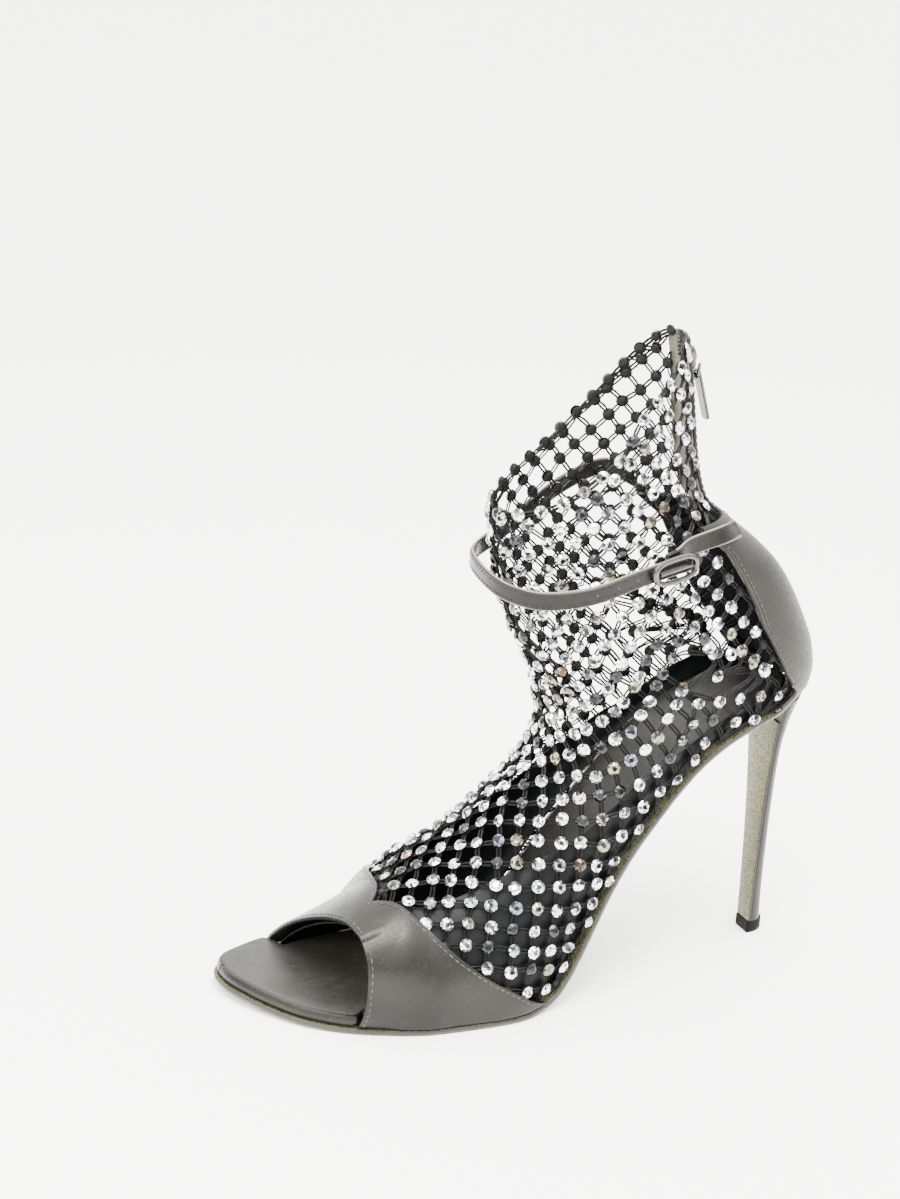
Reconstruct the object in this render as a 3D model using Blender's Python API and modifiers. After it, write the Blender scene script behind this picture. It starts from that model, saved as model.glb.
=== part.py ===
"""Left peep-toe stiletto of grey leather with a slack ankle shaft of crystal net.

Frame: +X to the toe, +Y to the wearer's left (the outer side of this left shoe), +Z up.
The origin is the centre of the heel tip, on the ground. Sizes below are in millimetres.
"""

import math

import bmesh
import bpy
import numpy as np

MM = 0.001

# Driving sizes of the last
SOLE_LENGTH = 220.5      # back of the seat to the tip of the toe, along the ground
SEAT_BACK = 9.5          # back of the seat behind the heel tip's centre
SEAT_HEIGHT = 103.0      # underside of the sole at the back of the seat
OUTER_HALF = 37.0        # widest reach of the sole to the outer side
INNER_HALF = 47.0        # widest reach of the sole to the inner side
SHAFT_HEIGHT = 243.0     # top of the zip above the ground
SHAFT_HALF = 27.0        # widest half width of the net shaft and heel
RIM_DIP = 9.0            # how far the slack rim sinks below a straight line

# Walls and layers
GAP = 0.3                # between two pieces that touch
OUTSOLE_WALL = 2.0
PLATFORM_WALL = 3.6
PLATFORM_WAIST = 2.4     # platform wall under the arch and the heel
SOCK_WALL = 0.8
NET_WALL = 1.1
LINING_WALL = 0.8
VAMP_WALL = 1.4
COUNTER_WALL = 1.6
ZIP_TAPE_WALL = 1.3
SEAT_INSET = 2.8         # the outsole inside the sole's line under the heel seat
UPPER_INSET = 2.0        # outer face of the net inside the sole's edge
FLANK_LEAN = {1: 0.0, -1: 4.0}  # more room at the toe, where the inner flank leans over the sole
FLANK_START = (0.61, 0.72)  # shares of SOLE_LENGTH over which that room grows

# Heel
TIP_LENGTH = 8.2
STEM_FRONT = 3.0         # flat front face of the heel's stem ahead of the tip's centre
TIP_HALF_WIDTH = 4.4
TOP_LIFT_WALL = 5.0
BREAST_WALL = 0.7

# Strap, buckle and zip
STRAP_WIDTH = 5.8
STRAP_WALL = 1.8
BUCKLE_LENGTH = 19.0
BUCKLE_WIDTH = 10.0
BUCKLE_BACK = 12.5       # from the strap's tip to the buckle's middle
BUCKLE_WIRE = 1.9        # thickness of the round wire of the buckle
PRONG_WIRE = 1.3
TAPE_WIDTH = 8.0
ZIP_OPENING = 4.4        # between the two leather zip edges
CHAIN_WALL = 1.5
SLIDER_ROW = 26.1        # where the slider stays, just under the open V of the zip
SLIDER = (8.0, 6.4, 2.2)  # length along the zip, width, thickness
BAIL_WIRE = 1.2
BAIL_DROP = 2.5          # bail below the slider's lower end
PULL_LENGTH = 20.0
PULL_WIDTH = 4.6
PULL_WALL = 1.1
PULL_LEAN = math.radians(17)  # the tab's lean from plumb, down and back

# Sole outline, rows even in the turn from the seat's back (0) to the toe's tip (1).
# outer and inner are shares of OUTER_HALF and INNER_HALF, from the heel-to-toe line.
OUTLINE = {
    "turn": (0, .08, .16, .24, .32, .40, .48, .56, .64, .72, .80, .86, .91, .96, 1),
    "outer": (0, .28, .51, .65, .70, .74, .86, 1, .95, .74, .42, .09, -.18, -.40, -.58),
    "inner": (0, .28, .46, .55, .55, .57, .75, .94, 1, .98, .88, .77, .68, .57, .457),
}
# Underside of the sole from the seat (along 0) to the toe (1); height is a share of SEAT_HEIGHT.
UNDERSIDE = {
    "along": (0, .07, .124, .182, .24, .29, .321, .348, .38, .407, .429, .452, .474, .497, .528,
              .564, .834, .915, 1),
    "height": (1, .965, .94, .893, .815, .71, .63, .56, .465, .37, .28, .185, .105, .048, .015,
               0, 0, .008, .03),
}
# Foot sections, throat to seat. ridge_x and seat are shares of SOLE_LENGTH from the seat's back,
# ridge_z of SHAFT_HEIGHT, ridge_y, outer and inner of SHAFT_HALF. The rounds are the powers of the
# superellipse: under 1 a half section bulges at its shoulder, over 1 it flattens.
FOOT = {
    "ridge_x": (.834, .762, .712, .680, .636, .598, .561, .515, .488, .480, .492, .520, .548, .566,
                .576, .583),
    "ridge_z": (.146, .172, .187, .204, .223, .249, .283, .320, .357, .398, .454, .516, .565, .606,
                .639, .660),
    "ridge_y": (.44, .22, .05, -.07, -.11, -.11, -.11, -.07, -.04, 0, 0, 0, 0, 0, 0, 0),
    "seat": (.845, .771, .712, .654, .593, .533, .470, .407, .339, .267, .200, .137, .079, .031,
             .009, 0),
    "outer": (1.02, 1.17, 1.25, 1.31, 1.33, 1.30, 1.22, 1.14, 1.08, 1.05, 1.02, 1, .99, .98, .98, .98),
    "inner": (1.52, 1.64, 1.72, 1.72, 1.66, 1.56, 1.42, 1.26, 1.12, 1.04, 1.0, .98, .98, .98, .98, .98),
    "outer_round": (.75, .88, 1, 1, 1, 1, 1, 1, 1, 1, 1, 1, 1, 1, 1, 1),
    "inner_round": (1.5, 1.3, 1.12, 1.03, 1, 1, 1, 1, 1, 1, 1, 1, 1, 1, 1, 1),
    "back_round": (1, 1, 1, 1, 1, 1, 1, .95, .9, .85, .8, .78, .76, .75, .75, .75),
    "dip": (0, 0, 0, 0, 0, 0, 0, 0, 0, 0, 0, 0, 0, 0, 0, 0),
}
# Shaft sections, seat to rim. back_x and back_z are the back seam, dip is a share of RIM_DIP.
SHAFT = {
    "ridge_x": (.586, .587, .589, .591, .592, .593, .593, .593, .593, .593, .593, .593),
    "ridge_z": (.672, .684, .695, .703, .709, .715, .720, .724, .728, .731, .734, .737),
    "ridge_y": (0, 0, 0, 0, 0, 0, 0, 0, 0, 0, 0, 0),
    "back_x": (.005, .012, .031, .058, .090, .130, .185, .233, .254, .267, .278, .290),
    "back_z": (.461, .498, .539, .586, .628, .663, .702, .741, .802, .872, .938, .992),
    "outer": (.98, .97, .97, .96, .95, .94, .92, .90, .88, .86, .85, .84),
    "inner": (.98, .98, .98, .98, .97, .96, .95, .93, .91, .90, .90, .90),
    "outer_round": (1, 1, 1, 1, 1, 1, 1, 1, 1, 1, 1, 1),
    "inner_round": (1, 1, 1, 1, 1, 1, 1, 1, 1, 1, 1, 1),
    "back_round": (.75, .75, .76, .77, .79, .82, .88, .95, 1, 1, 1, 1),
    "dip": (0, 0, 0, 0, 0, 0, .05, .15, .35, .6, .85, 1),
}
SEAT_ROW = len(FOOT["seat"]) - 1
RIM_ROW = SEAT_ROW + len(SHAFT["back_x"])
THROAT_SKEW = -0.165     # the peep opening runs back on the outer side

# Edges of the pieces of the upper: across runs from the ridge (0) to the sole or back seam (1),
# and row counts the sections above, from the peep opening (0) to the rim.
VAMP_EDGE = {
    "across": (0, .035, .15, .25, .355, .47, .605, .705, .8, .875, .955, 1),
    "row": (.68, .8, 1.12, 1.33, 1.57, 2.0, 2.63, 3.15, 3.7, 4.25, 4.85, 5.2),
}
NET_START = {"across": (0, .15, .4, .8, 1), "row": (.2, .55, 1.2, 3.0, 4.5)}
LINING_TOP = {
    "row": (.12, .95, 1.3, 2.0, 3.25, 4.4, 5.4, 6.2, 7, 8, 9, 9.8, 11, 11.8, 12.6, 13.4),
    "across": (0, 0, .13, .26, .32, .34, .37, .44, .55, .66, .77, .85, .87, .85, .81, .76),
}
COUNTER_EDGE = {
    "row": (11.8, 12.5, 13.2, 14, 15, 15.75, 16.7, 17.65, 18.75, 20, 21, 22.3),
    "across": (.965, .93, .88, .82, .745, .695, .66, .64, .64, .645, .665, .68),
}
COUNTER_TOP_ROW = 22.3
COUNTER_STEPS = 9        # points from the counter's front edge to the sole or back seam
LINING_STEPS = 13        # points from the lining's top edge to the sole
COUNTER_FOOT = 0.975     # share across at which the counter stops above the sole
FOOT_SHARE = 0.99        # share across at which vamp and lining stop, clear of the outsole
ZIP_ROWS = (22.38, 26.85)  # foot and top of the two leather strips of the zip
NET_CLOSED = (.996, .996, 1, .985, .962)  # how far round the net reaches: foot, seat and rim
# Sag of the slack rim between the ridge (along 0) and the zip (1), as a share of RIM_DIP.
RIM_SAG = {
    "along": (0, .15, .3, .46, .65, .85, 1),
    "outer": (0, .69, .9, .85, .25, .25, 0),
    "inner": (0, .45, .81, .99, .89, .45, 0),
}
# Middle line of the slack ankle strap from the inner side round the front to the buckle, as shares
# of SHAFT_HEIGHT, and of the loose tab that holds the buckle. lean is how far the band's width
# still lies along the counter instead of upright.
STRAP_LINE = {
    "x": (.218, .263, .329, .395, .449, .486, .510, .516, .504, .473, .412, .337, .272, .233),
    "y": (-.113, -.123, -.123, -.115, -.099, -.078, -.033, .033, .080, .123, .148, .144, .136, .130),
    "z": (.737, .753, .730, .691, .665, .654, .654, .648, .642, .642, .652, .669, .680, .684),
    "lean": (.5, .2, 0, 0, 0, 0, 0, 0, 0, 0, 0, 0, 0, 0),
}
TAB_LINE = {
    "x": (.235, .262, .284),
    "y": (.108, .120, .126),
    "z": (.697, .688, .683),
    "lean": (.3, .1, 0),
}
STRAP_ROW = 21.75        # row of the counter where both strap ends are sewn on
STRAP_ENDS = (.79, .71)  # shares across of the two points of each sewn end


def smooth(at, keys, values):
    """Monotone cubic through a short table, flat where the table turns."""
    keys = np.asarray(keys, float)
    values = np.asarray(values, float)
    step = np.diff(keys)
    slope = np.diff(values) / step
    tangent = np.zeros(len(keys))
    before, after = slope[:-1], slope[1:]
    rising = before * after > 0
    inner = np.zeros(len(before))
    inner[rising] = 2 * before[rising] * after[rising] / (before + after)[rising]
    tangent[1:-1] = inner
    tangent[0], tangent[-1] = slope[0], slope[-1]
    at = np.clip(np.asarray(at, float), keys[0], keys[-1])
    i = np.clip(np.searchsorted(keys, at, side="right") - 1, 0, len(step) - 1)
    u = (at - keys[i]) / step[i]
    return (
        values[i] * (1 + 2 * u) * (1 - u) ** 2
        + values[i + 1] * u * u * (3 - 2 * u)
        + step[i] * (tangent[i] * u * (1 - u) ** 2 + tangent[i + 1] * u * u * (u - 1))
    )


def underside(x):
    """Height and slope of the sole's underside at x."""
    def height(at):
        share = (at + SEAT_BACK) / SOLE_LENGTH
        return SEAT_HEIGHT * smooth(share, UNDERSIDE["along"], UNDERSIDE["height"])
    return height(x), height(x + 0.5) - height(x - 0.5)


def outline(turn, side):
    """Plan point of the sole's edge; side is +1 on the outer side and -1 on the inner one."""
    x = SOLE_LENGTH * (1 - np.cos(np.pi * turn)) / 2 - SEAT_BACK
    if side > 0:
        return x, OUTER_HALF * smooth(turn, OUTLINE["turn"], OUTLINE["outer"])
    return x, -INNER_HALF * smooth(turn, OUTLINE["turn"], OUTLINE["inner"])


def sole_edge(turn, side, inset, lift):
    """The sole's edge drawn in by inset and raised by lift square to the underside."""
    nudge = 1e-3
    ahead_x, ahead_y = outline(np.minimum(turn + nudge, 1), side)
    behind_x, behind_y = outline(np.maximum(turn - nudge, 0), side)
    along = np.hypot(ahead_x - behind_x, ahead_y - behind_y)
    x, y = outline(turn, side)
    x = x + inset * side * (ahead_y - behind_y) / along
    y = y - inset * side * (ahead_x - behind_x) / along
    height, slope = underside(x)
    square = np.sqrt(1 + slope**2)
    return np.stack([x - lift * slope / square, y, height + lift / square], axis=-1)


def upper(row, across):
    """Outer face of the net at a section (row) and a signed share across it, + on the outer side.

    Each half section is a superellipse whose chord runs from the ridge down to the sole's edge,
    or behind the seat to the back seam.
    """
    row, across = np.broadcast_arrays(np.asarray(row, float), np.asarray(across, float))
    side = np.where(across < 0, -1.0, 1.0)
    share = np.abs(across)
    rows = np.arange(RIM_ROW + 1)

    def column(name):
        return smooth(row, rows, FOOT[name] + SHAFT[name])

    ridge_x = SOLE_LENGTH * column("ridge_x") - SEAT_BACK
    ridge_y = SHAFT_HALF * column("ridge_y")
    ridge_z = SHAFT_HEIGHT * column("ridge_z")
    wide = SHAFT_HALF * np.where(side > 0, column("outer"), column("inner")) - side * ridge_y
    front = np.where(side > 0, column("outer_round"), column("inner_round"))
    back = column("back_round")

    seat = smooth(np.minimum(row, SEAT_ROW), rows[:SEAT_ROW + 1], FOOT["seat"])
    turn = np.arccos(np.clip(1 - 2 * seat, -1, 1)) / np.pi
    lift = OUTSOLE_WALL + GAP
    on_outer = sole_edge(turn, 1, UPPER_INSET, lift)
    on_inner = sole_edge(turn, -1, UPPER_INSET, lift)
    edge = np.where((side > 0)[..., None], on_outer, on_inner)
    over = np.clip(row - SEAT_ROW, 0, None)
    seam_rows = np.arange(len(SHAFT["back_x"]) + 1)
    seat_end = sole_edge(np.zeros(1), 1, UPPER_INSET, lift)[0]
    seam_x = SOLE_LENGTH * np.array(SHAFT["back_x"]) - SEAT_BACK
    seam_z = SHAFT_HEIGHT * np.array(SHAFT["back_z"])
    seam_x = smooth(over, seam_rows, np.append(seat_end[0], seam_x))
    seam_z = smooth(over, seam_rows, np.append(seat_end[2], seam_z))
    above = row > SEAT_ROW
    end_x = np.where(above, seam_x, edge[..., 0])
    end_y = np.where(above, 0.0, edge[..., 1])
    end_z = np.where(above, seam_z, edge[..., 2])

    reach = np.clip(np.abs(end_y - ridge_y * (~above)) / wide, 0, 1)
    last = np.pi - np.arcsin(reach ** (1 / back))
    angle = share * last

    def chord(a):
        rounding = np.where(a < np.pi / 2, front, back)
        return (1 - np.sign(np.cos(a)) * np.abs(np.cos(a)) ** rounding) / 2

    along = chord(angle) / chord(last)
    rounding = np.where(angle < np.pi / 2, front, back)
    bulge = np.sin(np.clip(angle, 0, np.pi)) ** rounding
    sag = np.where(side > 0, smooth(along, RIM_SAG["along"], RIM_SAG["outer"]),
                   smooth(along, RIM_SAG["along"], RIM_SAG["inner"]))
    slack = RIM_DIP * column("dip") * sag
    y = ridge_y + side * wide * bulge
    skew = THROAT_SKEW * np.clip(1 - row, 0, 1) * (y - ridge_y)
    x = ridge_x + (end_x - ridge_x) * along + skew - 0.7 * slack
    z = ridge_z + (end_z - ridge_z) * along - 0.7 * slack
    return np.stack([x, y, z], axis=-1)


def raised(row, across, height):
    """Points of the upper moved out by height along its own normal."""
    row, across = np.broadcast_arrays(np.asarray(row, float), np.asarray(across, float))
    nudge = 0.02
    low = np.clip(row - nudge, 0, RIM_ROW)
    high = np.clip(row + nudge, 0, RIM_ROW)
    sign = np.where(across < 0, -1.0, 1.0)
    near = sign * np.clip(np.abs(across) - 0.012, 0, 1)
    far = sign * np.clip(np.abs(across) + 0.012, 0, 1)
    along = upper(high, across) - upper(low, across)
    around = sign[..., None] * (upper(row, far) - upper(row, near))
    normal = np.cross(around, along)
    normal /= np.maximum(np.linalg.norm(normal, axis=-1, keepdims=True), 1e-9)
    return upper(row, across) + height * normal


def above_sole(grid, clearance):
    """The same points, none lower than clearance above the top of the outsole."""
    floor = underside(grid[..., 0])[0] + OUTSOLE_WALL + clearance
    return np.concatenate([grid[..., :2], np.maximum(grid[..., 2], floor)[..., None]], axis=-1)


def material(name, colour, roughness, metallic=0.0):
    made = bpy.data.materials.new(name)
    made.use_nodes = True
    shader = made.node_tree.nodes["Principled BSDF"]
    shader.inputs["Base Color"].default_value = (*colour, 1)
    shader.inputs["Roughness"].default_value = roughness
    shader.inputs["Metallic"].default_value = metallic
    return made


def add_mesh(name, points, faces, finish, group, smooth_shade=True):
    """Mesh object from points in millimetres, with equal points merged and normals made outward."""
    mesh = bpy.data.meshes.new(name)
    mesh.from_pydata((np.asarray(points) * MM).tolist(), [], faces)
    made = bpy.data.objects.new(name, mesh)
    group.objects.link(made)
    mesh.materials.append(finish)
    if smooth_shade:
        mesh.shade_smooth()
        mesh.set_sharp_from_angle(angle=math.radians(40))
    return made


def grid_faces(rows, columns, skip=()):
    """Quads of a rows by columns grid of points; skip holds the (row, column) quads left open."""
    return [
        (i * columns + j, i * columns + j + 1, (i + 1) * columns + j + 1, (i + 1) * columns + j)
        for i in range(rows - 1)
        for j in range(columns - 1)
        if (i, j) not in skip
    ]


def sheet(name, grid, wall, finish, group, skip=()):
    """A leather or net sheet: an open grid of points given its wall outwards by Solidify."""
    rows, columns = grid.shape[:2]
    made = add_mesh(name, grid.reshape(-1, 3), grid_faces(rows, columns, skip), finish, group)
    weld = made.modifiers.new("Weld", "WELD")
    weld.merge_threshold = 0.00002
    solid = made.modifiers.new("Wall", "SOLIDIFY")
    solid.thickness = wall * MM
    solid.offset = 1
    return made


def loft(name, rings, finish, group):
    """Closed solid through rings of the same number of points, with flat caps."""
    rings = np.asarray(rings)
    count, around = rings.shape[:2]
    faces = [
        (i * around + j, i * around + (j + 1) % around,
         (i + 1) * around + (j + 1) % around, (i + 1) * around + j)
        for i in range(count - 1)
        for j in range(around)
    ]
    faces.append(tuple(range(around))[::-1])
    faces.append(tuple((count - 1) * around + j for j in range(around)))
    made = add_mesh(name, rings.reshape(-1, 3), faces, finish, group)
    work = bmesh.new()
    work.from_mesh(made.data)
    bmesh.ops.recalc_face_normals(work, faces=work.faces)
    work.to_mesh(made.data)
    work.free()
    return made


def tube(name, points, radius, finish, group, closed=False, resolution=2):
    """Round wire along points, as a curve with a bevel and filled caps."""
    curve = bpy.data.curves.new(name, "CURVE")
    curve.dimensions = "3D"
    spline = curve.splines.new("POLY")
    spline.points.add(len(points) - 1)
    for place, point in zip(spline.points, points):
        place.co = (*(np.asarray(point) * MM).tolist(), 1)
    spline.use_cyclic_u = closed
    curve.bevel_depth = radius * MM
    curve.bevel_resolution = resolution
    curve.use_fill_caps = not closed
    made = bpy.data.objects.new(name, curve)
    group.objects.link(made)
    curve.materials.append(finish)
    return made


def through(points, count):
    """Even points on a smooth curve through control points that start with x, y, z."""
    points = np.asarray(points, float)
    keys = np.append(0, np.cumsum(np.linalg.norm(np.diff(points[:, :3], axis=0), axis=1)))
    padded = np.vstack([2 * points[0] - points[1], points, 2 * points[-1] - points[-2]])
    at = np.linspace(0, keys[-1], count)
    i = np.clip(np.searchsorted(keys, at, side="right") - 1, 0, len(points) - 2)
    u = ((at - keys[i]) / (keys[i + 1] - keys[i]))[:, None]
    a, b, c, d = padded[i], padded[i + 1], padded[i + 2], padded[i + 3]
    bend = (2 * a - 5 * b + 4 * c - d) * u**2 + (3 * b - a - 3 * c + d) * u**3
    return 0.5 * (2 * b + (c - a) * u + bend)


def band_rings(path, width_way, width, wall):
    """Rectangular rings along a path: width along width_way, wall square to it and to the path."""
    ahead = np.gradient(path, axis=0)
    ahead /= np.linalg.norm(ahead, axis=1, keepdims=True)
    wide = width_way - (width_way * ahead).sum(1, keepdims=True) * ahead
    wide /= np.linalg.norm(wide, axis=1, keepdims=True)
    thick = np.cross(ahead, wide)
    w, t = wide * width / 2, thick * wall / 2
    return np.stack([path - w - t, path + w - t, path + w + t, path - w + t], axis=1)


def slab(name, turns, inset, low, high, finish, group):
    """A layer of the sole between two heights above the underside, by its edges at each turn."""
    inset = {side: np.broadcast_to(inset[side], turns.shape) for side in (1, -1)}
    rings = np.stack([
        sole_edge(turns, 1, inset[1], low),
        sole_edge(turns, 1, inset[1], high),
        sole_edge(turns, -1, inset[-1], high),
        sole_edge(turns, -1, inset[-1], low),
    ], axis=1)
    return loft(name, rings, finish, group)


def sole(group, finishes):
    """Outsole, leather-wrapped platform and sock, one on the other."""
    turns = np.concatenate([np.linspace(0.012, 0.39, 16), np.linspace(0.40, 0.60, 30),
                            np.linspace(0.62, 0.70, 5), np.linspace(0.712, 0.988, 26)])
    seat_inset = np.interp(turns, [0.10, 0.20], [SEAT_INSET, 0])
    slab("outsole", turns, {1: seat_inset, -1: seat_inset}, 0, OUTSOLE_WALL, finishes["outsole"], group)

    layers = UPPER_INSET + NET_WALL + LINING_WALL + 5 * GAP
    opening = {}
    for side, across in ((1, 1.0), (-1, -1.0)):
        mouth = upper(0, across)[0] + 2 * VAMP_WALL
        x = outline(turns, side)[0]
        lean = FLANK_LEAN[side] * np.interp((x + SEAT_BACK) / SOLE_LENGTH, FLANK_START, [0, 1])
        opening[side] = np.where(x > mouth, 0.6, layers + lean)
    thick = np.interp(turns, [0.44, 0.56], [PLATFORM_WAIST, PLATFORM_WALL])
    bottom = OUTSOLE_WALL + GAP
    slab("platform", turns, opening, bottom, bottom + thick, finishes["platform"], group)
    sock = {side: opening[side] + 0.4 for side in (1, -1)}
    top = bottom + thick + GAP
    slab("sock", turns, sock, top, top + SOCK_WALL, finishes["sock"], group)


def rows_and_shares(first, last, rows, columns):
    """Grid of rows by columns between two edge rows given for each share across, from -1 to 1."""
    across = np.linspace(-1, 1, columns)
    start = first(np.abs(across))
    end = last(np.abs(across))
    step = np.linspace(0, 1, rows)[:, None]
    return start + (end - start) * step, np.broadcast_to(across, (rows, columns))


def vamp(group, finishes):
    """Peep-toe band over the forefoot, from the opening to its slanting rear edge."""
    def front(share):
        return np.zeros_like(share)

    def rear(share):
        return smooth(share, VAMP_EDGE["across"], VAMP_EDGE["row"])

    row, across = rows_and_shares(front, rear, 14, 65)
    grid = above_sole(raised(row, across * FOOT_SHARE, 1.5 * GAP), 3 * GAP)
    sheet("vamp", grid, VAMP_WALL, finishes["vamp"], group)


def net(group, finishes):
    """The crystal net as one thin wall, from under the vamp to the slack rim, open at the zip."""
    across = np.linspace(-1, 1, 41)
    steps = np.linspace(0, 1, 44)[:, None]
    start = smooth(np.abs(across), NET_START["across"], NET_START["row"])
    row = start + (RIM_ROW - start) * steps
    closed = np.interp(row, [0, SEAT_ROW - 1, SEAT_ROW, SEAT_ROW + 1, RIM_ROW], NET_CLOSED)
    grid = raised(row, across * closed, -NET_WALL)
    sheet("net_upper", grid, NET_WALL, finishes["net"], group)


def lining(group, finishes):
    """Low inner lining like a court shoe's: whole at the throat, a band along each side."""
    rows = np.concatenate([[0.12, 0.5], np.linspace(.95, LINING_TOP["row"][-1], 36)])
    top = smooth(rows, LINING_TOP["row"], LINING_TOP["across"])
    step = np.linspace(0, 1, LINING_STEPS)
    outer = top[:, None] + (FOOT_SHARE - top)[:, None] * step
    across = np.hstack([-outer[:, ::-1], np.maximum(outer, 1e-6)])
    row = np.broadcast_to(rows[:, None], across.shape)
    grid = above_sole(raised(row, across, -NET_WALL - 2 * GAP - LINING_WALL), 2 * GAP)
    middle = LINING_STEPS - 1
    skip = {(i, middle) for i in range(len(rows))}
    sheet("lining", grid, LINING_WALL, finishes["lining"], group, skip)


def counter(group, finishes):
    """Leather heel counter, wrapping the back from the sole to the foot of the zip."""
    closed_row = SEAT_ROW + 0.2
    below = np.linspace(COUNTER_EDGE["row"][0], closed_row, 14)
    rows = np.append(below, np.linspace(closed_row, COUNTER_TOP_ROW, 22)[1:])
    edge = smooth(rows, COUNTER_EDGE["row"], COUNTER_EDGE["across"])
    step = np.linspace(0, 1, COUNTER_STEPS)
    foot = np.interp(rows, [SEAT_ROW - 0.3, closed_row], [COUNTER_FOOT, 1])
    outer = edge[:, None] + (foot - edge)[:, None] * step
    across = np.hstack([outer, -outer[:, ::-1]])
    row = np.broadcast_to(rows[:, None], across.shape)
    grid = above_sole(raised(row, across, 1.5 * GAP), 3 * GAP)
    middle = COUNTER_STEPS - 1
    above = rows >= closed_row
    grid[above, middle, 1] = 0
    grid[above, middle + 1] = grid[above, middle]
    skip = {(i, middle) for i in range(len(below) - 1)}
    sheet("heel_counter", grid, COUNTER_WALL, finishes["counter"], group, skip)


def heel(group, finishes):
    """Slender wrapped heel with a flat breast panel and a rubber top lift."""
    table = {
        "height": (.05, .21, .41, .60, .757, .83, .88),
        "depth": (.73, .67, .67, .67, .70, .84, 1.0),
        "width": (1.02, 1.10, 1.30, 1.66, 2.12, 2.4, 2.6),
    }
    stem_top = table["height"][-1] * SEAT_HEIGHT

    def ring(front, depth, half, count=15):
        turn = np.linspace(-np.pi / 2, np.pi / 2, count)
        return front - depth * np.cos(turn), half * np.sin(turn)

    lift_rings = []
    for height, grow in ((0, .96), (.6, 1), (TOP_LIFT_WALL, 1)):
        x, y = ring(TIP_LENGTH / 2, TIP_LENGTH, TIP_HALF_WIDTH * grow)
        lift_rings.append(np.stack([x * grow, y, np.full_like(x, height)], axis=1))
    loft("top_lift", lift_rings, finishes["top_lift"], group)

    rings = []
    for height in np.linspace(TOP_LIFT_WALL + GAP, stem_top, 17):
        level = height / SEAT_HEIGHT
        depth = TIP_LENGTH * smooth(level, table["height"], table["depth"])
        half = TIP_HALF_WIDTH * smooth(level, table["height"], table["width"])
        x, y = ring(STEM_FRONT, depth, half)
        rings.append(np.stack([x, y, np.full_like(x, height)], axis=1))
    for share, depth, width in ((.5, 1.17, 3.0), (1, 1.36, 3.5)):
        x, y = ring(STEM_FRONT, TIP_LENGTH * depth, TIP_HALF_WIDTH * width)
        top = underside(x)[0] - GAP - 0.2
        rings.append(np.stack([x, y, stem_top + (top - stem_top) * share], axis=1))
    loft("heel_stem", rings, finishes["heel"], group)

    heights = np.linspace(TOP_LIFT_WALL + GAP, stem_top, 12)
    halves = TIP_HALF_WIDTH * 0.93 * smooth(heights / SEAT_HEIGHT, table["height"], table["width"])
    face = STEM_FRONT + GAP
    outer = face + BREAST_WALL
    rings = [
        [(face, -half, z), (face, half, z), (outer, half - .2, z), (outer, -half + .2, z)]
        for half, z in zip(halves, heights)
    ]
    loft("heel_breast", rings, finishes["breast"], group)


def half_girth(row):
    """Length of the half section at a row, from the ridge to the back seam."""
    line = upper(row, np.linspace(0, 1, 60))
    return np.linalg.norm(np.diff(line, axis=0), axis=1).sum()


def seam_frame(row):
    """Point of the back seam at a row, with the way up the seam and the way out of the shoe."""
    point = upper(row, 1.0)
    up = upper(row + 0.1, 1.0) - upper(row - 0.1, 1.0)
    up[1] = 0
    up /= np.linalg.norm(up)
    return point, up, np.array([-up[2], 0, up[0]])


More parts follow.
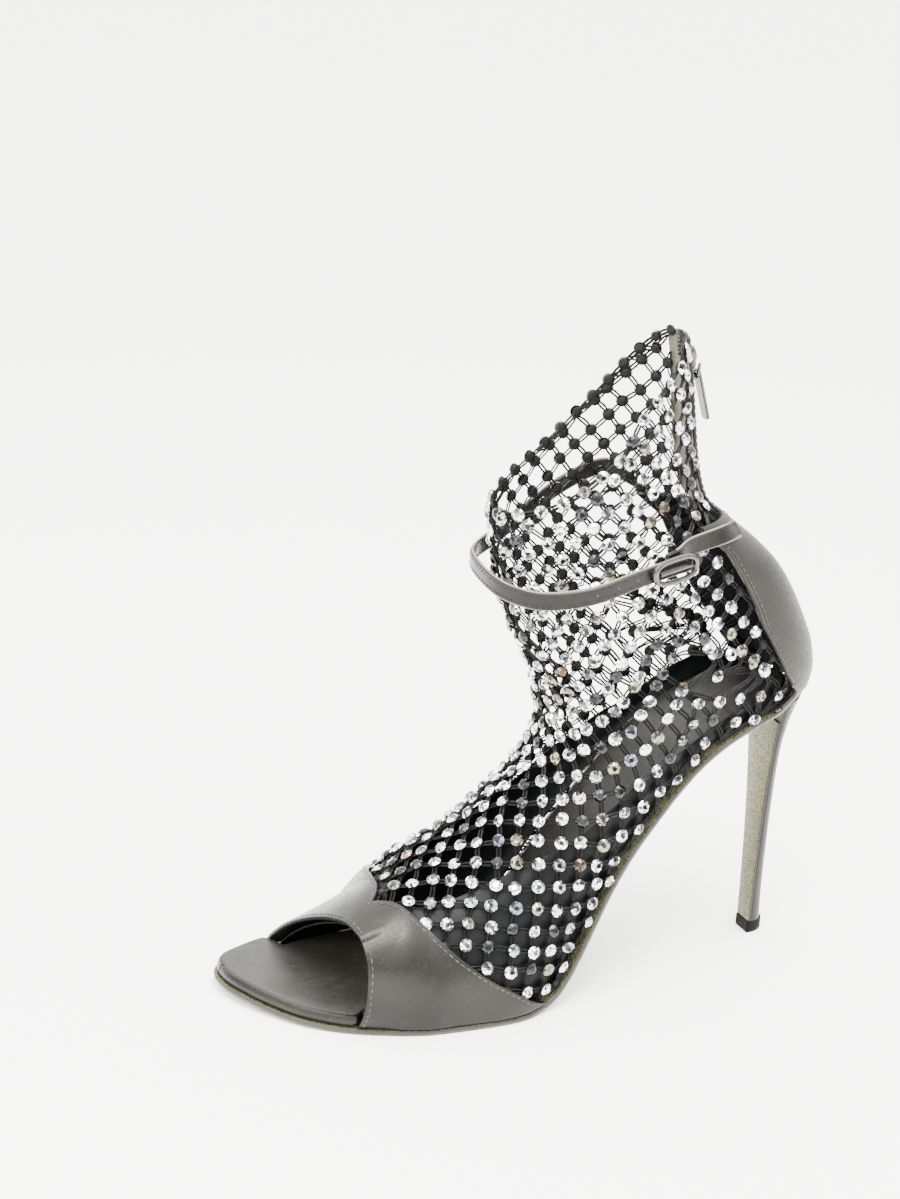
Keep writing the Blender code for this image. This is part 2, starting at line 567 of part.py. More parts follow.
def zipper(group, finishes):
    """Leather strips beside the back zip, its closed chain, the slider with its bail and the tab."""
    rows = np.linspace(*ZIP_ROWS, 26)
    girths = np.array([half_girth(row) for row in rows])[:, None]
    across_strip = np.linspace(0, 1, 8)
    for name, side in (("zip_strip_outer", 1), ("zip_strip_inner", -1)):
        share = 1 - (ZIP_OPENING / 2 + TAPE_WIDTH * across_strip) / girths
        if side > 0:
            share = share[:, ::-1]
        row = np.broadcast_to(rows[:, None], share.shape)
        grid = raised(row, side * share, 1.7 * GAP)
        sheet(name, grid, ZIP_TAPE_WALL, finishes["tape"], group)

    chain_rows = np.linspace(COUNTER_TOP_ROW + 0.2, SLIDER_ROW, 12)
    half = ZIP_OPENING / 2 - 3 * GAP
    rings = []
    for row in chain_rows:
        point, _, out = seam_frame(row)
        wide = np.array([0, half, 0])
        near, far = out * -0.6, out * (CHAIN_WALL - 0.6)
        rings.append([point - wide + near, point + wide + near, point + wide + far, point - wide + far])
    loft("zip_chain", rings, finishes["metal"], group)

    point, up, out = seam_frame(SLIDER_ROW)
    length, width, thick = SLIDER
    foot = GAP + ZIP_TAPE_WALL + GAP
    rings = []
    for step, grow in ((-.5, .7), (-.38, .92), (0, 1), (.38, 1), (.5, .8)):
        middle = point + up * length * step
        wide = np.array([0, width / 2 * grow, 0])
        near, far = out * (foot + 0.2), out * (foot + 0.2 + thick * (0.6 + 0.4 * grow))
        rings.append([middle - wide + near, middle + wide + near, middle + wide + far, middle - wide + far])
    loft("zip_slider", rings, finishes["metal"], group)

    top = foot + 0.2 + thick + GAP + BAIL_WIRE / 2
    base = point + out * top - up * length * 0.3
    hinge = point + out * (top - 1.0) - up * (length / 2 + BAIL_DROP)
    side_way = np.array([0, PULL_WIDTH / 2 + GAP + BAIL_WIRE / 2, 0])
    corner = hinge + 0.25 * (base - hinge)
    bail = [base - side_way, corner - side_way, hinge - side_way,
            hinge + side_way, corner + side_way, base + side_way]
    tube("zip_bail", bail, BAIL_WIRE / 2, finishes["metal"], group)

    down = np.array([-math.sin(PULL_LEAN), 0, -math.cos(PULL_LEAN)])
    back = np.array([down[2], 0, -down[0]])
    loop = BAIL_WIRE / 2 + GAP + PULL_WALL / 2
    turns = np.linspace(math.radians(65), math.radians(360), 13)
    path = [hinge + loop * (back * math.cos(turn) + down * math.sin(turn)) for turn in turns]
    plate = path[-1]
    path += [plate + down * PULL_LENGTH * share for share in (.05, .3, .6, .9)]
    path = np.array(path)
    rings = band_rings(path, np.array([[0, 1.0, 0]]), PULL_WIDTH, PULL_WALL)
    loft("zip_pull", rings, finishes["metal"], group)


def strap_rings(side, table, count):
    """Rings of a flat strap: it starts on the counter's top corner and then follows a table."""
    lift = GAP + COUNTER_WALL + 4 * GAP + STRAP_WALL / 2
    ends = np.array([raised(STRAP_ROW, side * share, lift) for share in STRAP_ENDS])
    rise = np.array([upper(STRAP_ROW + .2, side * share) - upper(STRAP_ROW - .2, side * share)
                     for share in STRAP_ENDS])
    rise /= np.linalg.norm(rise, axis=1, keepdims=True)
    line = SHAFT_HEIGHT * np.array([table["x"], table["y"], table["z"]]).T
    lean = np.array(table["lean"])[:, None]
    ways = np.vstack([rise, lean * rise[-1] + (1 - lean) * [0, 0, 1]])
    course = through(np.hstack([np.vstack([ends, line]), ways]), count)
    path, ways = course[:, :3], course[:, 3:]
    return path, band_rings(path, ways, STRAP_WIDTH, STRAP_WALL)


def strap(group, finishes):
    """The slack ankle strap, the buckle's tab, the oval buckle and its prong."""
    inner, rings = strap_rings(-1, STRAP_LINE, 70)
    loft("ankle_strap", rings, finishes["strap"], group)
    loft("buckle_tab", strap_rings(1, TAB_LINE, 16)[1], finishes["strap"], group)

    lengths = np.append(0, np.cumsum(np.linalg.norm(np.diff(inner, axis=0), axis=1)))
    middle_at = lengths[-1] - BUCKLE_BACK
    reach = BUCKLE_LENGTH / 5
    back_end, middle, front_end = [
        np.array([np.interp(at, lengths, inner[:, k]) for k in range(3)])
        for at in (middle_at - reach, middle_at, middle_at + reach)
    ]
    ahead = front_end - back_end
    ahead /= np.linalg.norm(ahead)
    wide = np.array([0, 0, 1.0]) - ahead[2] * ahead
    wide /= np.linalg.norm(wide)
    out = np.cross(ahead, wide)
    out *= np.sign(out[1])
    centre = middle + out * (STRAP_WALL / 2 + GAP + BUCKLE_WIRE / 2 + 0.5)
    turns = np.linspace(0, 2 * np.pi, 32, endpoint=False)
    half_length, half_width = (BUCKLE_LENGTH - BUCKLE_WIRE) / 2, (BUCKLE_WIDTH - BUCKLE_WIRE) / 2
    power = 0.7
    oval = [
        centre
        + ahead * half_length * np.sign(np.cos(t)) * abs(np.cos(t)) ** power
        + wide * half_width * np.sign(np.sin(t)) * abs(np.sin(t)) ** power
        for t in turns
    ]
    tube("buckle_frame", oval, BUCKLE_WIRE / 2, finishes["metal"], group, closed=True)
    tip = centre - ahead * (half_length - BUCKLE_WIRE / 2 - GAP - PRONG_WIRE / 2)
    root = centre + ahead * (half_length - BUCKLE_WIRE / 2 - GAP - PRONG_WIRE / 2)
    tube("buckle_prong", [root, (root + tip) / 2, tip], PRONG_WIRE / 2, finishes["metal"], group)


def build():
    for old in list(bpy.data.objects):
        bpy.data.objects.remove(old, do_unlink=True)
    group = bpy.data.collections.new("crystal_net_peep_toe")
    bpy.context.scene.collection.children.link(group)
    leather = (.21, .195, .17)
    finishes = {
        "outsole": material("outsole_glitter", (.46, .45, .36), .45, .3),
        "platform": material("platform_leather", leather, .5, .25),
        "sock": material("sock_leather", (.25, .24, .22), .6),
        "vamp": material("vamp_leather", leather, .4, .35),
        "net": material("net_thread", (.05, .05, .05), .6),
        "lining": material("lining_mesh", (.02, .02, .02), .5),
        "counter": material("counter_leather", leather, .4, .35),
        "heel": material("heel_leather", leather, .4, .35),
        "breast": material("breast_glitter", (.46, .45, .36), .5, .3),
        "top_lift": material("top_lift_rubber", (.02, .02, .02), .6),
        "strap": material("strap_leather", leather, .4, .35),
        "tape": material("zip_leather", leather, .4, .35),
        "metal": material("silver_metal", (.6, .6, .58), .25, 1),
    }
    sole(group, finishes)
    net(group, finishes)
    lining(group, finishes)
    vamp(group, finishes)
    counter(group, finishes)
    heel(group, finishes)
    zipper(group, finishes)
    strap(group, finishes)


build()
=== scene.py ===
"""Looks of a left peep-toe stiletto: crystal net over pewter leather, glitter and nickel.

Every shape is worked out in millimetres in the frame of the part (+X to the toe, +Y to the
outer side, +Z up, origin under the heel tip) and becomes metres when its mesh is made. The net,
the toe band, the counter and the zip all lie on one surface, upper(row, across), which repeats
the formula of the part's source: row counts the sections from the peep opening (0) to the rim
(27), and across runs from the ridge (0) to the sole's edge or the back seam (+1 outer, -1 inner).
"""

import math

import bmesh
import bpy
import numpy as np
from mathutils import Matrix


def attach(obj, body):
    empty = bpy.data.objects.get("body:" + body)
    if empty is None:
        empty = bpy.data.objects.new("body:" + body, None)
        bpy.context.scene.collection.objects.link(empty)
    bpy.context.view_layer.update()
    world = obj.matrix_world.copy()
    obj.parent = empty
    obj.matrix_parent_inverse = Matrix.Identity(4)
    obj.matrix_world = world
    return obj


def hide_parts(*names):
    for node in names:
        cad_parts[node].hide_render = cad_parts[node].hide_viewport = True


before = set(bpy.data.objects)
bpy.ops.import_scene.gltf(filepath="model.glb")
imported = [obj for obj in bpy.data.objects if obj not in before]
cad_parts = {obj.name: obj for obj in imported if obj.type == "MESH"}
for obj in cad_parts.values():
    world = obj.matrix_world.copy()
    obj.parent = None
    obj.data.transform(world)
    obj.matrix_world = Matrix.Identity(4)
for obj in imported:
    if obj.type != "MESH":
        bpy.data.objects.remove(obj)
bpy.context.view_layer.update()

MM = 0.001
SEED = 11

# Camera, read from the photograph: millimetres, radians and pixels of a 900 by 1199 picture
CAMERA_PLACE = (436.25, 648.15, 396.72)
CAMERA_YAW, CAMERA_PITCH, CAMERA_ROLL = -2.0048, -0.3342, 0.0505
PHOTO_WIDTH, FOCAL_PIXELS, SENSOR = 900, 2200.0, 36.0
PAPER_HALF = 12.0          # metres from the middle of the paper to its edge
WORLD_LIGHT = (1.9, 7.4)   # strength near the horizon and overhead
LIGHT_SPAN = (0.05, 0.75)  # height of the sky between which it grows
LIGHT_AIM = (0.08, 0.0, 0.1)
SOFT_LIGHTS = (            # name, place in metres, side in metres, watts
    ("overhead_softbox", (0.15, 0.35, 1.2), 0.7, 40),
    ("front_softbox", (0.95, 0.55, 0.65), 0.5, 14),
)
SIDES = ((1, "outer"), (-1, "inner"))

# Sizes of the last and its layers, as in the part
SOLE_LENGTH = 220.5
SEAT_BACK = 9.5
SEAT_HEIGHT = 103.0
OUTER_HALF = 37.0
INNER_HALF = 47.0
SHAFT_HEIGHT = 243.0
SHAFT_HALF = 27.0
RIM_DIP = 9.0
GAP = 0.3
OUTSOLE_WALL = 2.0
PLATFORM_WALL = 3.6
PLATFORM_WAIST = 2.4
SOCK_WALL = 0.8
NET_WALL = 1.1
LINING_WALL = 0.8
VAMP_WALL = 1.4
COUNTER_WALL = 1.6
ZIP_TAPE_WALL = 1.3
SEAT_INSET = 2.8
UPPER_INSET = 2.0
FLANK_LEAN = {1: 0.0, -1: 4.0}  # the platform's further inset on each side
FLANK_START = (0.61, 0.72)      # shares of the length between which it comes in
TIP_LENGTH = 8.2
STEM_FRONT = 3.0
TIP_HALF_WIDTH = 4.4
TOP_LIFT_WALL = 5.0
BREAST_WALL = 0.7
STRAP_WIDTH = 5.8
STRAP_WALL = 1.8
TAPE_WIDTH = 8.0
ZIP_OPENING = 4.4
SLIDER_ROW = 26.1
SLIDER = (8.0, 6.4, 2.2)
BAIL_WIRE = 1.2
BAIL_DROP = 2.5
PULL_LENGTH = 20.0
PULL_WIDTH = 4.6
PULL_WALL = 1.1
PULL_LEAN = math.radians(17)

# Sizes of what the part's solids leave to this script
LEATHER_LIFT = 1.5 * GAP   # inner face of vamp and counter above the net
ZIP_LIFT = 1.7 * GAP       # inner face of the zip's strips above the net
STITCH_INSET = 1.6         # seam lines of the vamp from its edges
STITCH_RISE = 0.08         # middle of a stitch above its leather
PIPING = 0.75              # radius of the cord along the counter's front edge
WAIST_INSET = 0.4          # the outsole draws in a little between heel and ball
EDGE_LINE = 0.75           # radius of the outsole's painted edge
TOE_INSET = 0.6            # the platform inside the outsole at the open toe
TOE_START = 1.5            # the platform widens this far before the vamp's front corner
FOOTBED_INSET = 1.5        # the footbed inside the platform's rounded rim
TOOTH_PITCH = 1.35
TOOTH_APART = 0.45         # closed teeth from the middle of the chain
HOLES_FROM_END = (4.5, 27.0, 35.0, 43.0)
HOLE_RADIUS = 0.8

# Sole outline, rows even in the turn from the seat's back (0) to the toe's tip (1).
# outer and inner are shares of OUTER_HALF and INNER_HALF, from the heel-to-toe line.
OUTLINE = {
    "turn": (0, .08, .16, .24, .32, .40, .48, .56, .64, .72, .80, .86, .91, .96, 1),
    "outer": (0, .28, .51, .65, .70, .74, .86, 1, .95, .74, .42, .09, -.18, -.40, -.58),
    "inner": (0, .28, .46, .55, .55, .57, .75, .94, 1, .98, .88, .77, .68, .57, .457),
}
# Underside of the sole from the seat (along 0) to the toe (1); height is a share of SEAT_HEIGHT.
UNDERSIDE = {
    "along": (0, .07, .124, .182, .24, .29, .321, .348, .38, .407, .429, .452, .474, .497, .528,
              .564, .834, .915, 1),
    "height": (1, .965, .94, .893, .815, .71, .63, .56, .465, .37, .28, .185, .105, .048, .015,
               0, 0, .008, .03),
}
# Foot sections, throat to seat. ridge_x and seat are shares of SOLE_LENGTH from the seat's back,
# ridge_z of SHAFT_HEIGHT, ridge_y, outer and inner of SHAFT_HALF. The rounds are the powers of the
# superellipse: under 1 a half section bulges at its shoulder, over 1 it flattens.
FOOT = {
    "ridge_x": (.834, .762, .712, .680, .636, .598, .561, .515, .488, .480, .492, .520, .548, .566,
                .576, .583),
    "ridge_z": (.146, .172, .187, .204, .223, .249, .283, .320, .357, .398, .454, .516, .565, .606,
                .639, .660),
    "ridge_y": (.44, .22, .05, -.07, -.11, -.11, -.11, -.07, -.04, 0, 0, 0, 0, 0, 0, 0),
    "seat": (.845, .771, .712, .654, .593, .533, .470, .407, .339, .267, .200, .137, .079, .031,
             .009, 0),
    "outer": (1.02, 1.17, 1.25, 1.31, 1.33, 1.30, 1.22, 1.14, 1.08, 1.05, 1.02, 1, .99, .98,
              .98, .98),
    "inner": (1.52, 1.64, 1.72, 1.72, 1.66, 1.56, 1.42, 1.26, 1.12, 1.04, 1.0, .98, .98, .98,
              .98, .98),
    "outer_round": (.75, .88, 1, 1, 1, 1, 1, 1, 1, 1, 1, 1, 1, 1, 1, 1),
    "inner_round": (1.5, 1.3, 1.12, 1.03, 1, 1, 1, 1, 1, 1, 1, 1, 1, 1, 1, 1),
    "back_round": (1, 1, 1, 1, 1, 1, 1, .95, .9, .85, .8, .78, .76, .75, .75, .75),
    "dip": (0, 0, 0, 0, 0, 0, 0, 0, 0, 0, 0, 0, 0, 0, 0, 0),
}
# Shaft sections, seat to rim. back_x and back_z are the back seam, dip is a share of RIM_DIP.
SHAFT = {
    "ridge_x": (.586, .587, .589, .591, .592, .593, .593, .593, .593, .593, .593, .593),
    "ridge_z": (.672, .684, .695, .703, .709, .715, .720, .724, .728, .731, .734, .737),
    "ridge_y": (0, 0, 0, 0, 0, 0, 0, 0, 0, 0, 0, 0),
    "back_x": (.005, .012, .031, .058, .090, .130, .185, .233, .254, .267, .278, .290),
    "back_z": (.461, .498, .539, .586, .628, .663, .702, .741, .802, .872, .938, .992),
    "outer": (.98, .97, .97, .96, .95, .94, .92, .90, .88, .86, .85, .84),
    "inner": (.98, .98, .98, .98, .97, .96, .95, .93, .91, .90, .90, .90),
    "outer_round": (1, 1, 1, 1, 1, 1, 1, 1, 1, 1, 1, 1),
    "inner_round": (1, 1, 1, 1, 1, 1, 1, 1, 1, 1, 1, 1),
    "back_round": (.75, .75, .76, .77, .79, .82, .88, .95, 1, 1, 1, 1),
    "dip": (0, 0, 0, 0, 0, 0, .05, .15, .35, .6, .85, 1),
}
SEAT_ROW = len(FOOT["seat"]) - 1
RIM_ROW = SEAT_ROW + len(SHAFT["back_x"])
THROAT_SKEW = -0.165     # the peep opening runs back on the outer side

# Edges of the pieces of the upper: across runs from the ridge (0) to the sole or back seam (1),
# and row counts the sections above, from the peep opening (0) to the rim.
VAMP_EDGE = {
    "across": (0, .035, .15, .25, .355, .47, .605, .705, .8, .875, .955, 1),
    "row": (.68, .8, 1.12, 1.33, 1.57, 2.0, 2.63, 3.15, 3.7, 4.25, 4.85, 5.2),
}
NET_START = {"across": (0, .15, .4, .8, 1), "row": (.2, .55, 1.2, 3.0, 4.5)}
LINING_TOP = {
    "row": (.12, .95, 1.3, 2.0, 3.25, 4.4, 5.4, 6.2, 7, 8, 9, 9.8, 11, 11.8, 12.6, 13.4),
    "across": (0, 0, .13, .26, .32, .34, .37, .44, .55, .66, .77, .85, .87, .85, .81, .76),
}
COUNTER_EDGE = {
    "row": (11.8, 12.5, 13.2, 14, 15, 15.75, 16.7, 17.65, 18.75, 20, 21, 22.3),
    "across": (.965, .93, .88, .82, .745, .695, .66, .64, .64, .645, .665, .68),
}
COUNTER_TOP_ROW = 22.3
COUNTER_FOOT = 0.975     # share across at which the counter stops above the sole
FOOT_SHARE = 0.99        # share across at which vamp and lining stop, clear of the outsole
ZIP_ROWS = (22.38, 26.85)  # foot and top of the two leather strips of the zip
# Sag of the slack rim between the ridge (along 0) and the zip (1), as a share of RIM_DIP.
RIM_SAG = {
    "along": (0, .15, .3, .46, .65, .85, 1),
    "outer": (0, .69, .9, .85, .25, .25, 0),
    "inner": (0, .45, .81, .99, .89, .45, 0),
}
# Middle line of the slack ankle strap from the inner side round the front to the buckle, as shares
# of SHAFT_HEIGHT, and of the loose tab that holds the buckle. lean is how far the band's width
# still lies along the counter instead of upright.
STRAP_LINE = {
    "x": (.218, .263, .329, .395, .449, .486, .510, .516, .504, .473, .412, .337, .272, .233),
    "y": (-.113, -.123, -.123, -.115, -.099, -.078, -.033, .033, .080, .123, .148, .144, .136,
          .130),
    "z": (.737, .753, .730, .691, .665, .654, .654, .648, .642, .642, .652, .669, .680, .684),
    "lean": (.5, .2, 0, 0, 0, 0, 0, 0, 0, 0, 0, 0, 0, 0),
}
TAB_LINE = {
    "x": (.235, .262, .284),
    "y": (.108, .120, .126),
    "z": (.697, .688, .683),
    "lean": (.3, .1, 0),
}
STRAP_ROW = 21.75        # row of the counter where both strap ends are sewn on
STRAP_ENDS = (.79, .71)  # shares across of the two points of each sewn end


def smooth(at, keys, values):
    """Monotone cubic through a short table, flat where the table turns."""
    keys = np.asarray(keys, float)
    values = np.asarray(values, float)
    step = np.diff(keys)
    slope = np.diff(values) / step
    tangent = np.zeros(len(keys))
    before, after = slope[:-1], slope[1:]
    rising = before * after > 0
    inner = np.zeros(len(before))
    inner[rising] = 2 * before[rising] * after[rising] / (before + after)[rising]
    tangent[1:-1] = inner
    tangent[0], tangent[-1] = slope[0], slope[-1]
    at = np.clip(np.asarray(at, float), keys[0], keys[-1])
    i = np.clip(np.searchsorted(keys, at, side="right") - 1, 0, len(step) - 1)
    u = (at - keys[i]) / step[i]
    return (
        values[i] * (1 + 2 * u) * (1 - u) ** 2
        + values[i + 1] * u * u * (3 - 2 * u)
        + step[i] * (tangent[i] * u * (1 - u) ** 2 + tangent[i + 1] * u * u * (u - 1))
    )


def underside(x):
    """Height and slope of the sole's underside at x."""
    def height(at):
        share = (at + SEAT_BACK) / SOLE_LENGTH
        return SEAT_HEIGHT * smooth(share, UNDERSIDE["along"], UNDERSIDE["height"])
    return height(x), height(x + 0.5) - height(x - 0.5)


def outline(turn, side):
    """Plan point of the sole's edge; side is +1 on the outer side and -1 on the inner one."""
    x = SOLE_LENGTH * (1 - np.cos(np.pi * turn)) / 2 - SEAT_BACK
    if side > 0:
        return x, OUTER_HALF * smooth(turn, OUTLINE["turn"], OUTLINE["outer"])
    return x, -INNER_HALF * smooth(turn, OUTLINE["turn"], OUTLINE["inner"])


def sole_edge(turn, side, inset, lift):
    """The sole's edge drawn in by inset and raised by lift square to the underside."""
    nudge = 1e-3
    ahead_x, ahead_y = outline(np.minimum(turn + nudge, 1), side)
    behind_x, behind_y = outline(np.maximum(turn - nudge, 0), side)
    along = np.hypot(ahead_x - behind_x, ahead_y - behind_y)
    x, y = outline(turn, side)
    x = x + inset * side * (ahead_y - behind_y) / along
    y = y - inset * side * (ahead_x - behind_x) / along
    height, slope = underside(x)
    square = np.sqrt(1 + slope**2)
    return np.stack([x - lift * slope / square, y, height + lift / square], axis=-1)


def upper(row, across):
    """Outer face of the net at a section (row) and a signed share across it, + on the outer side.

    Each half section is a superellipse whose chord runs from the ridge down to the sole's edge,
    or behind the seat to the back seam.
    """
    row, across = np.broadcast_arrays(np.asarray(row, float), np.asarray(across, float))
    side = np.where(across < 0, -1.0, 1.0)
    share = np.abs(across)
    rows = np.arange(RIM_ROW + 1)

    def column(name):
        return smooth(row, rows, FOOT[name] + SHAFT[name])

    ridge_x = SOLE_LENGTH * column("ridge_x") - SEAT_BACK
    ridge_y = SHAFT_HALF * column("ridge_y")
    ridge_z = SHAFT_HEIGHT * column("ridge_z")
    wide = SHAFT_HALF * np.where(side > 0, column("outer"), column("inner")) - side * ridge_y
    front = np.where(side > 0, column("outer_round"), column("inner_round"))
    back = column("back_round")

    seat = smooth(np.minimum(row, SEAT_ROW), rows[:SEAT_ROW + 1], FOOT["seat"])
    turn = np.arccos(np.clip(1 - 2 * seat, -1, 1)) / np.pi
    lift = OUTSOLE_WALL + GAP
    on_outer = sole_edge(turn, 1, UPPER_INSET, lift)
    on_inner = sole_edge(turn, -1, UPPER_INSET, lift)
    edge = np.where((side > 0)[..., None], on_outer, on_inner)
    over = np.clip(row - SEAT_ROW, 0, None)
    seam_rows = np.arange(len(SHAFT["back_x"]) + 1)
    seat_end = sole_edge(np.zeros(1), 1, UPPER_INSET, lift)[0]
    seam_x = SOLE_LENGTH * np.array(SHAFT["back_x"]) - SEAT_BACK
    seam_z = SHAFT_HEIGHT * np.array(SHAFT["back_z"])
    seam_x = smooth(over, seam_rows, np.append(seat_end[0], seam_x))
    seam_z = smooth(over, seam_rows, np.append(seat_end[2], seam_z))
    above = row > SEAT_ROW
    end_x = np.where(above, seam_x, edge[..., 0])
    end_y = np.where(above, 0.0, edge[..., 1])
    end_z = np.where(above, seam_z, edge[..., 2])

    reach = np.clip(np.abs(end_y - ridge_y * (~above)) / wide, 0, 1)
    last = np.pi - np.arcsin(reach ** (1 / back))
    angle = share * last

    def chord(a):
        rounding = np.where(a < np.pi / 2, front, back)
        return (1 - np.sign(np.cos(a)) * np.abs(np.cos(a)) ** rounding) / 2

    along = chord(angle) / chord(last)
    rounding = np.where(angle < np.pi / 2, front, back)
    bulge = np.sin(np.clip(angle, 0, np.pi)) ** rounding
    sag = np.where(side > 0, smooth(along, RIM_SAG["along"], RIM_SAG["outer"]),
                   smooth(along, RIM_SAG["along"], RIM_SAG["inner"]))
    slack = RIM_DIP * column("dip") * sag
    y = ridge_y + side * wide * bulge
    skew = THROAT_SKEW * np.clip(1 - row, 0, 1) * (y - ridge_y)
    x = ridge_x + (end_x - ridge_x) * along + skew - 0.7 * slack
    z = ridge_z + (end_z - ridge_z) * along - 0.7 * slack
    return np.stack([x, y, z], axis=-1)


def unit(vectors):
    """The same vectors, each one long."""
    return vectors / np.maximum(np.linalg.norm(vectors, axis=-1, keepdims=True), 1e-9)


def lengths_along(points):
    """Length of a line of points from its start to each of them."""
    return np.append(0, np.cumsum(np.linalg.norm(np.diff(points, axis=0), axis=1)))


def sampled(at, keys, values):
    """Rows of values between the keys of a table, at given places."""
    return np.stack([np.interp(at, keys, column) for column in values.T], axis=-1)


def vamp_rear(share):
    """Row of the vamp's rear edge at a share across."""
    return smooth(share, VAMP_EDGE["across"], VAMP_EDGE["row"])


def counter_front(row):
    """Share across of the counter's front edge at a row."""
    return smooth(row, COUNTER_EDGE["row"], COUNTER_EDGE["across"])


def rows_about(row, nudge=0.05):
    """Rows a little below and above a row, held on the upper."""
    row = np.asarray(row)
    return np.clip(row - nudge, 0, RIM_ROW), np.clip(row + nudge, 0, RIM_ROW)


def raised(row, across, height):
    """Points of the upper moved out by height along its own normal."""
    row, across = np.broadcast_arrays(np.asarray(row, float), np.asarray(across, float))
    low, high = rows_about(row, 0.02)
    sign = np.where(across < 0, -1.0, 1.0)
    near = sign * np.clip(np.abs(across) - 0.012, 0, 1)
    far = sign * np.clip(np.abs(across) + 0.012, 0, 1)
    along = upper(high, across) - upper(low, across)
    around = sign[..., None] * (upper(row, far) - upper(row, near))
    return upper(row, across) + np.asarray(height)[..., None] * unit(np.cross(around, along))


def above_sole(grid, clearance):
    """The same points, none lower than clearance above the top of the outsole."""
    floor = underside(grid[..., 0])[0] + OUTSOLE_WALL + clearance
    return np.concatenate([grid[..., :2], np.maximum(grid[..., 2], floor)[..., None]], axis=-1)


def through(points, count):
    """Even points on a smooth curve through control points that start with x, y, z."""
    points = np.asarray(points, float)
    keys = lengths_along(points[:, :3])
    padded = np.vstack([2 * points[0] - points[1], points, 2 * points[-1] - points[-2]])
    at = np.linspace(0, keys[-1], count)
    i = np.clip(np.searchsorted(keys, at, side="right") - 1, 0, len(points) - 2)
    u = ((at - keys[i]) / (keys[i + 1] - keys[i]))[:, None]
    a, b, c, d = padded[i], padded[i + 1], padded[i + 2], padded[i + 3]
    bend = (2 * a - 5 * b + 4 * c - d) * u**2 + (3 * b - a - 3 * c + d) * u**3
    return 0.5 * (2 * b + (c - a) * u + bend)


def half_girth(row):
    """Length of the half section at a row, from the ridge to the back seam."""
    line = upper(row, np.linspace(0, 1, 60))
    return np.linalg.norm(np.diff(line, axis=0), axis=1).sum()


def seam_frame(row):
    """Point of the back seam at a row, with the way up the seam and the way out of the shoe."""
    point = upper(row, 1.0)
    up = upper(row + 0.1, 1.0) - upper(row - 0.1, 1.0)
    up = unit(up * [1, 0, 1])
    return point, up, np.array([-up[2], 0, up[0]])


def strap_course(side, table, count):
    """Middle line of a flat strap, and the way of its width at each point.

    It starts on the counter's top corner, with its width along the counter, and then follows a
    table of shares of the shaft's height, upright.
    """
    lift = COUNTER_WALL + 5 * GAP + STRAP_WALL / 2
    ends = side * np.array(STRAP_ENDS)
    rise = unit(upper(STRAP_ROW + .2, ends) - upper(STRAP_ROW - .2, ends))
    line = SHAFT_HEIGHT * np.array([table["x"], table["y"], table["z"]]).T
    lean = np.array(table["lean"])[:, None]
    ways = np.vstack([rise, lean * rise[-1] + (1 - lean) * [0, 0, 1]])
    places = np.vstack([raised(STRAP_ROW, ends, lift), line])
    course = through(np.hstack([places, ways]), count)
    return course[:, :3], course[:, 3:]


# ---------------------------------------------------------------- finishes

def linear(code):
    """sRGB hex value to linear red, green, blue, alpha."""
    levels = np.array([int(code[i:i + 2], 16) for i in (1, 3, 5)]) / 255
    low, high = levels / 12.92, ((levels + 0.055) / 1.055) ** 2.4
    return (*np.where(levels <= 0.04045, low, high).tolist(), 1.0)


def add(tree, kind, links=None, **settings):
    """A shader node with its settings, and its sockets set to values or linked to outputs."""
    made = tree.nodes.new(kind)
    for name, value in settings.items():
        setattr(made, name, value)
    for socket, value in (links or {}).items():
        if isinstance(value, bpy.types.NodeSocket):
            tree.links.new(value, made.inputs[socket])
        else:
            made.inputs[socket].default_value = value
    return made


def start(name, **sockets):
    """New material, its tree, and its object coordinates in metres."""
    made = bpy.data.materials.new(name)
    made.use_nodes = True
    tree = made.node_tree
    for socket, value in sockets.items():
        tree.nodes["Principled BSDF"].inputs[socket.replace("_", " ")].default_value = value
    return made, tree, add(tree, "ShaderNodeTexCoord").outputs["Object"]


def per_mm(size):
    """Texture scale for cells of this size in millimetres, on coordinates in metres."""
    return 1 / (size * MM)


def tinted(tree, pattern, a, b, span=(0, 1), most=1.0):
    """Colour from a towards b, by most at most, as the value of a pattern crosses a span."""
    share = add(tree, "ShaderNodeMapRange", {"Value": pattern, "From Min": span[0],
                                             "From Max": span[1], "To Max": most})
    a, b = (linear(colour) if isinstance(colour, str) else colour for colour in (a, b))
    return add(tree, "ShaderNodeMix", {"Factor": share.outputs["Result"], 6: a, 7: b},
               data_type="RGBA").outputs[2]


def coated(made, colour, rough, *reliefs):
    """The material with its colour, its roughness and its relief, each from a pattern.

    rough is a pattern, two values of it, and the roughness at each. A relief is a pattern, a
    strength and a depth in millimetres, and the coarser relief comes first.
    """
    tree = made.node_tree
    shader = tree.nodes["Principled BSDF"]
    tree.links.new(colour, shader.inputs["Base Color"])
    names = ("Value", "From Min", "From Max", "To Min", "To Max")
    matt = add(tree, "ShaderNodeMapRange", dict(zip(names, rough)))
    tree.links.new(matt.outputs["Result"], shader.inputs["Roughness"])
    normal = {}
    for pattern, strength, depth in reliefs:
        bump = add(tree, "ShaderNodeBump", {"Height": pattern, "Strength": strength,
                                            "Distance": depth * MM, **normal})
        normal = {"Normal": bump.outputs[0]}
    if normal:
        tree.links.new(normal["Normal"], shader.inputs["Normal"])
    return made


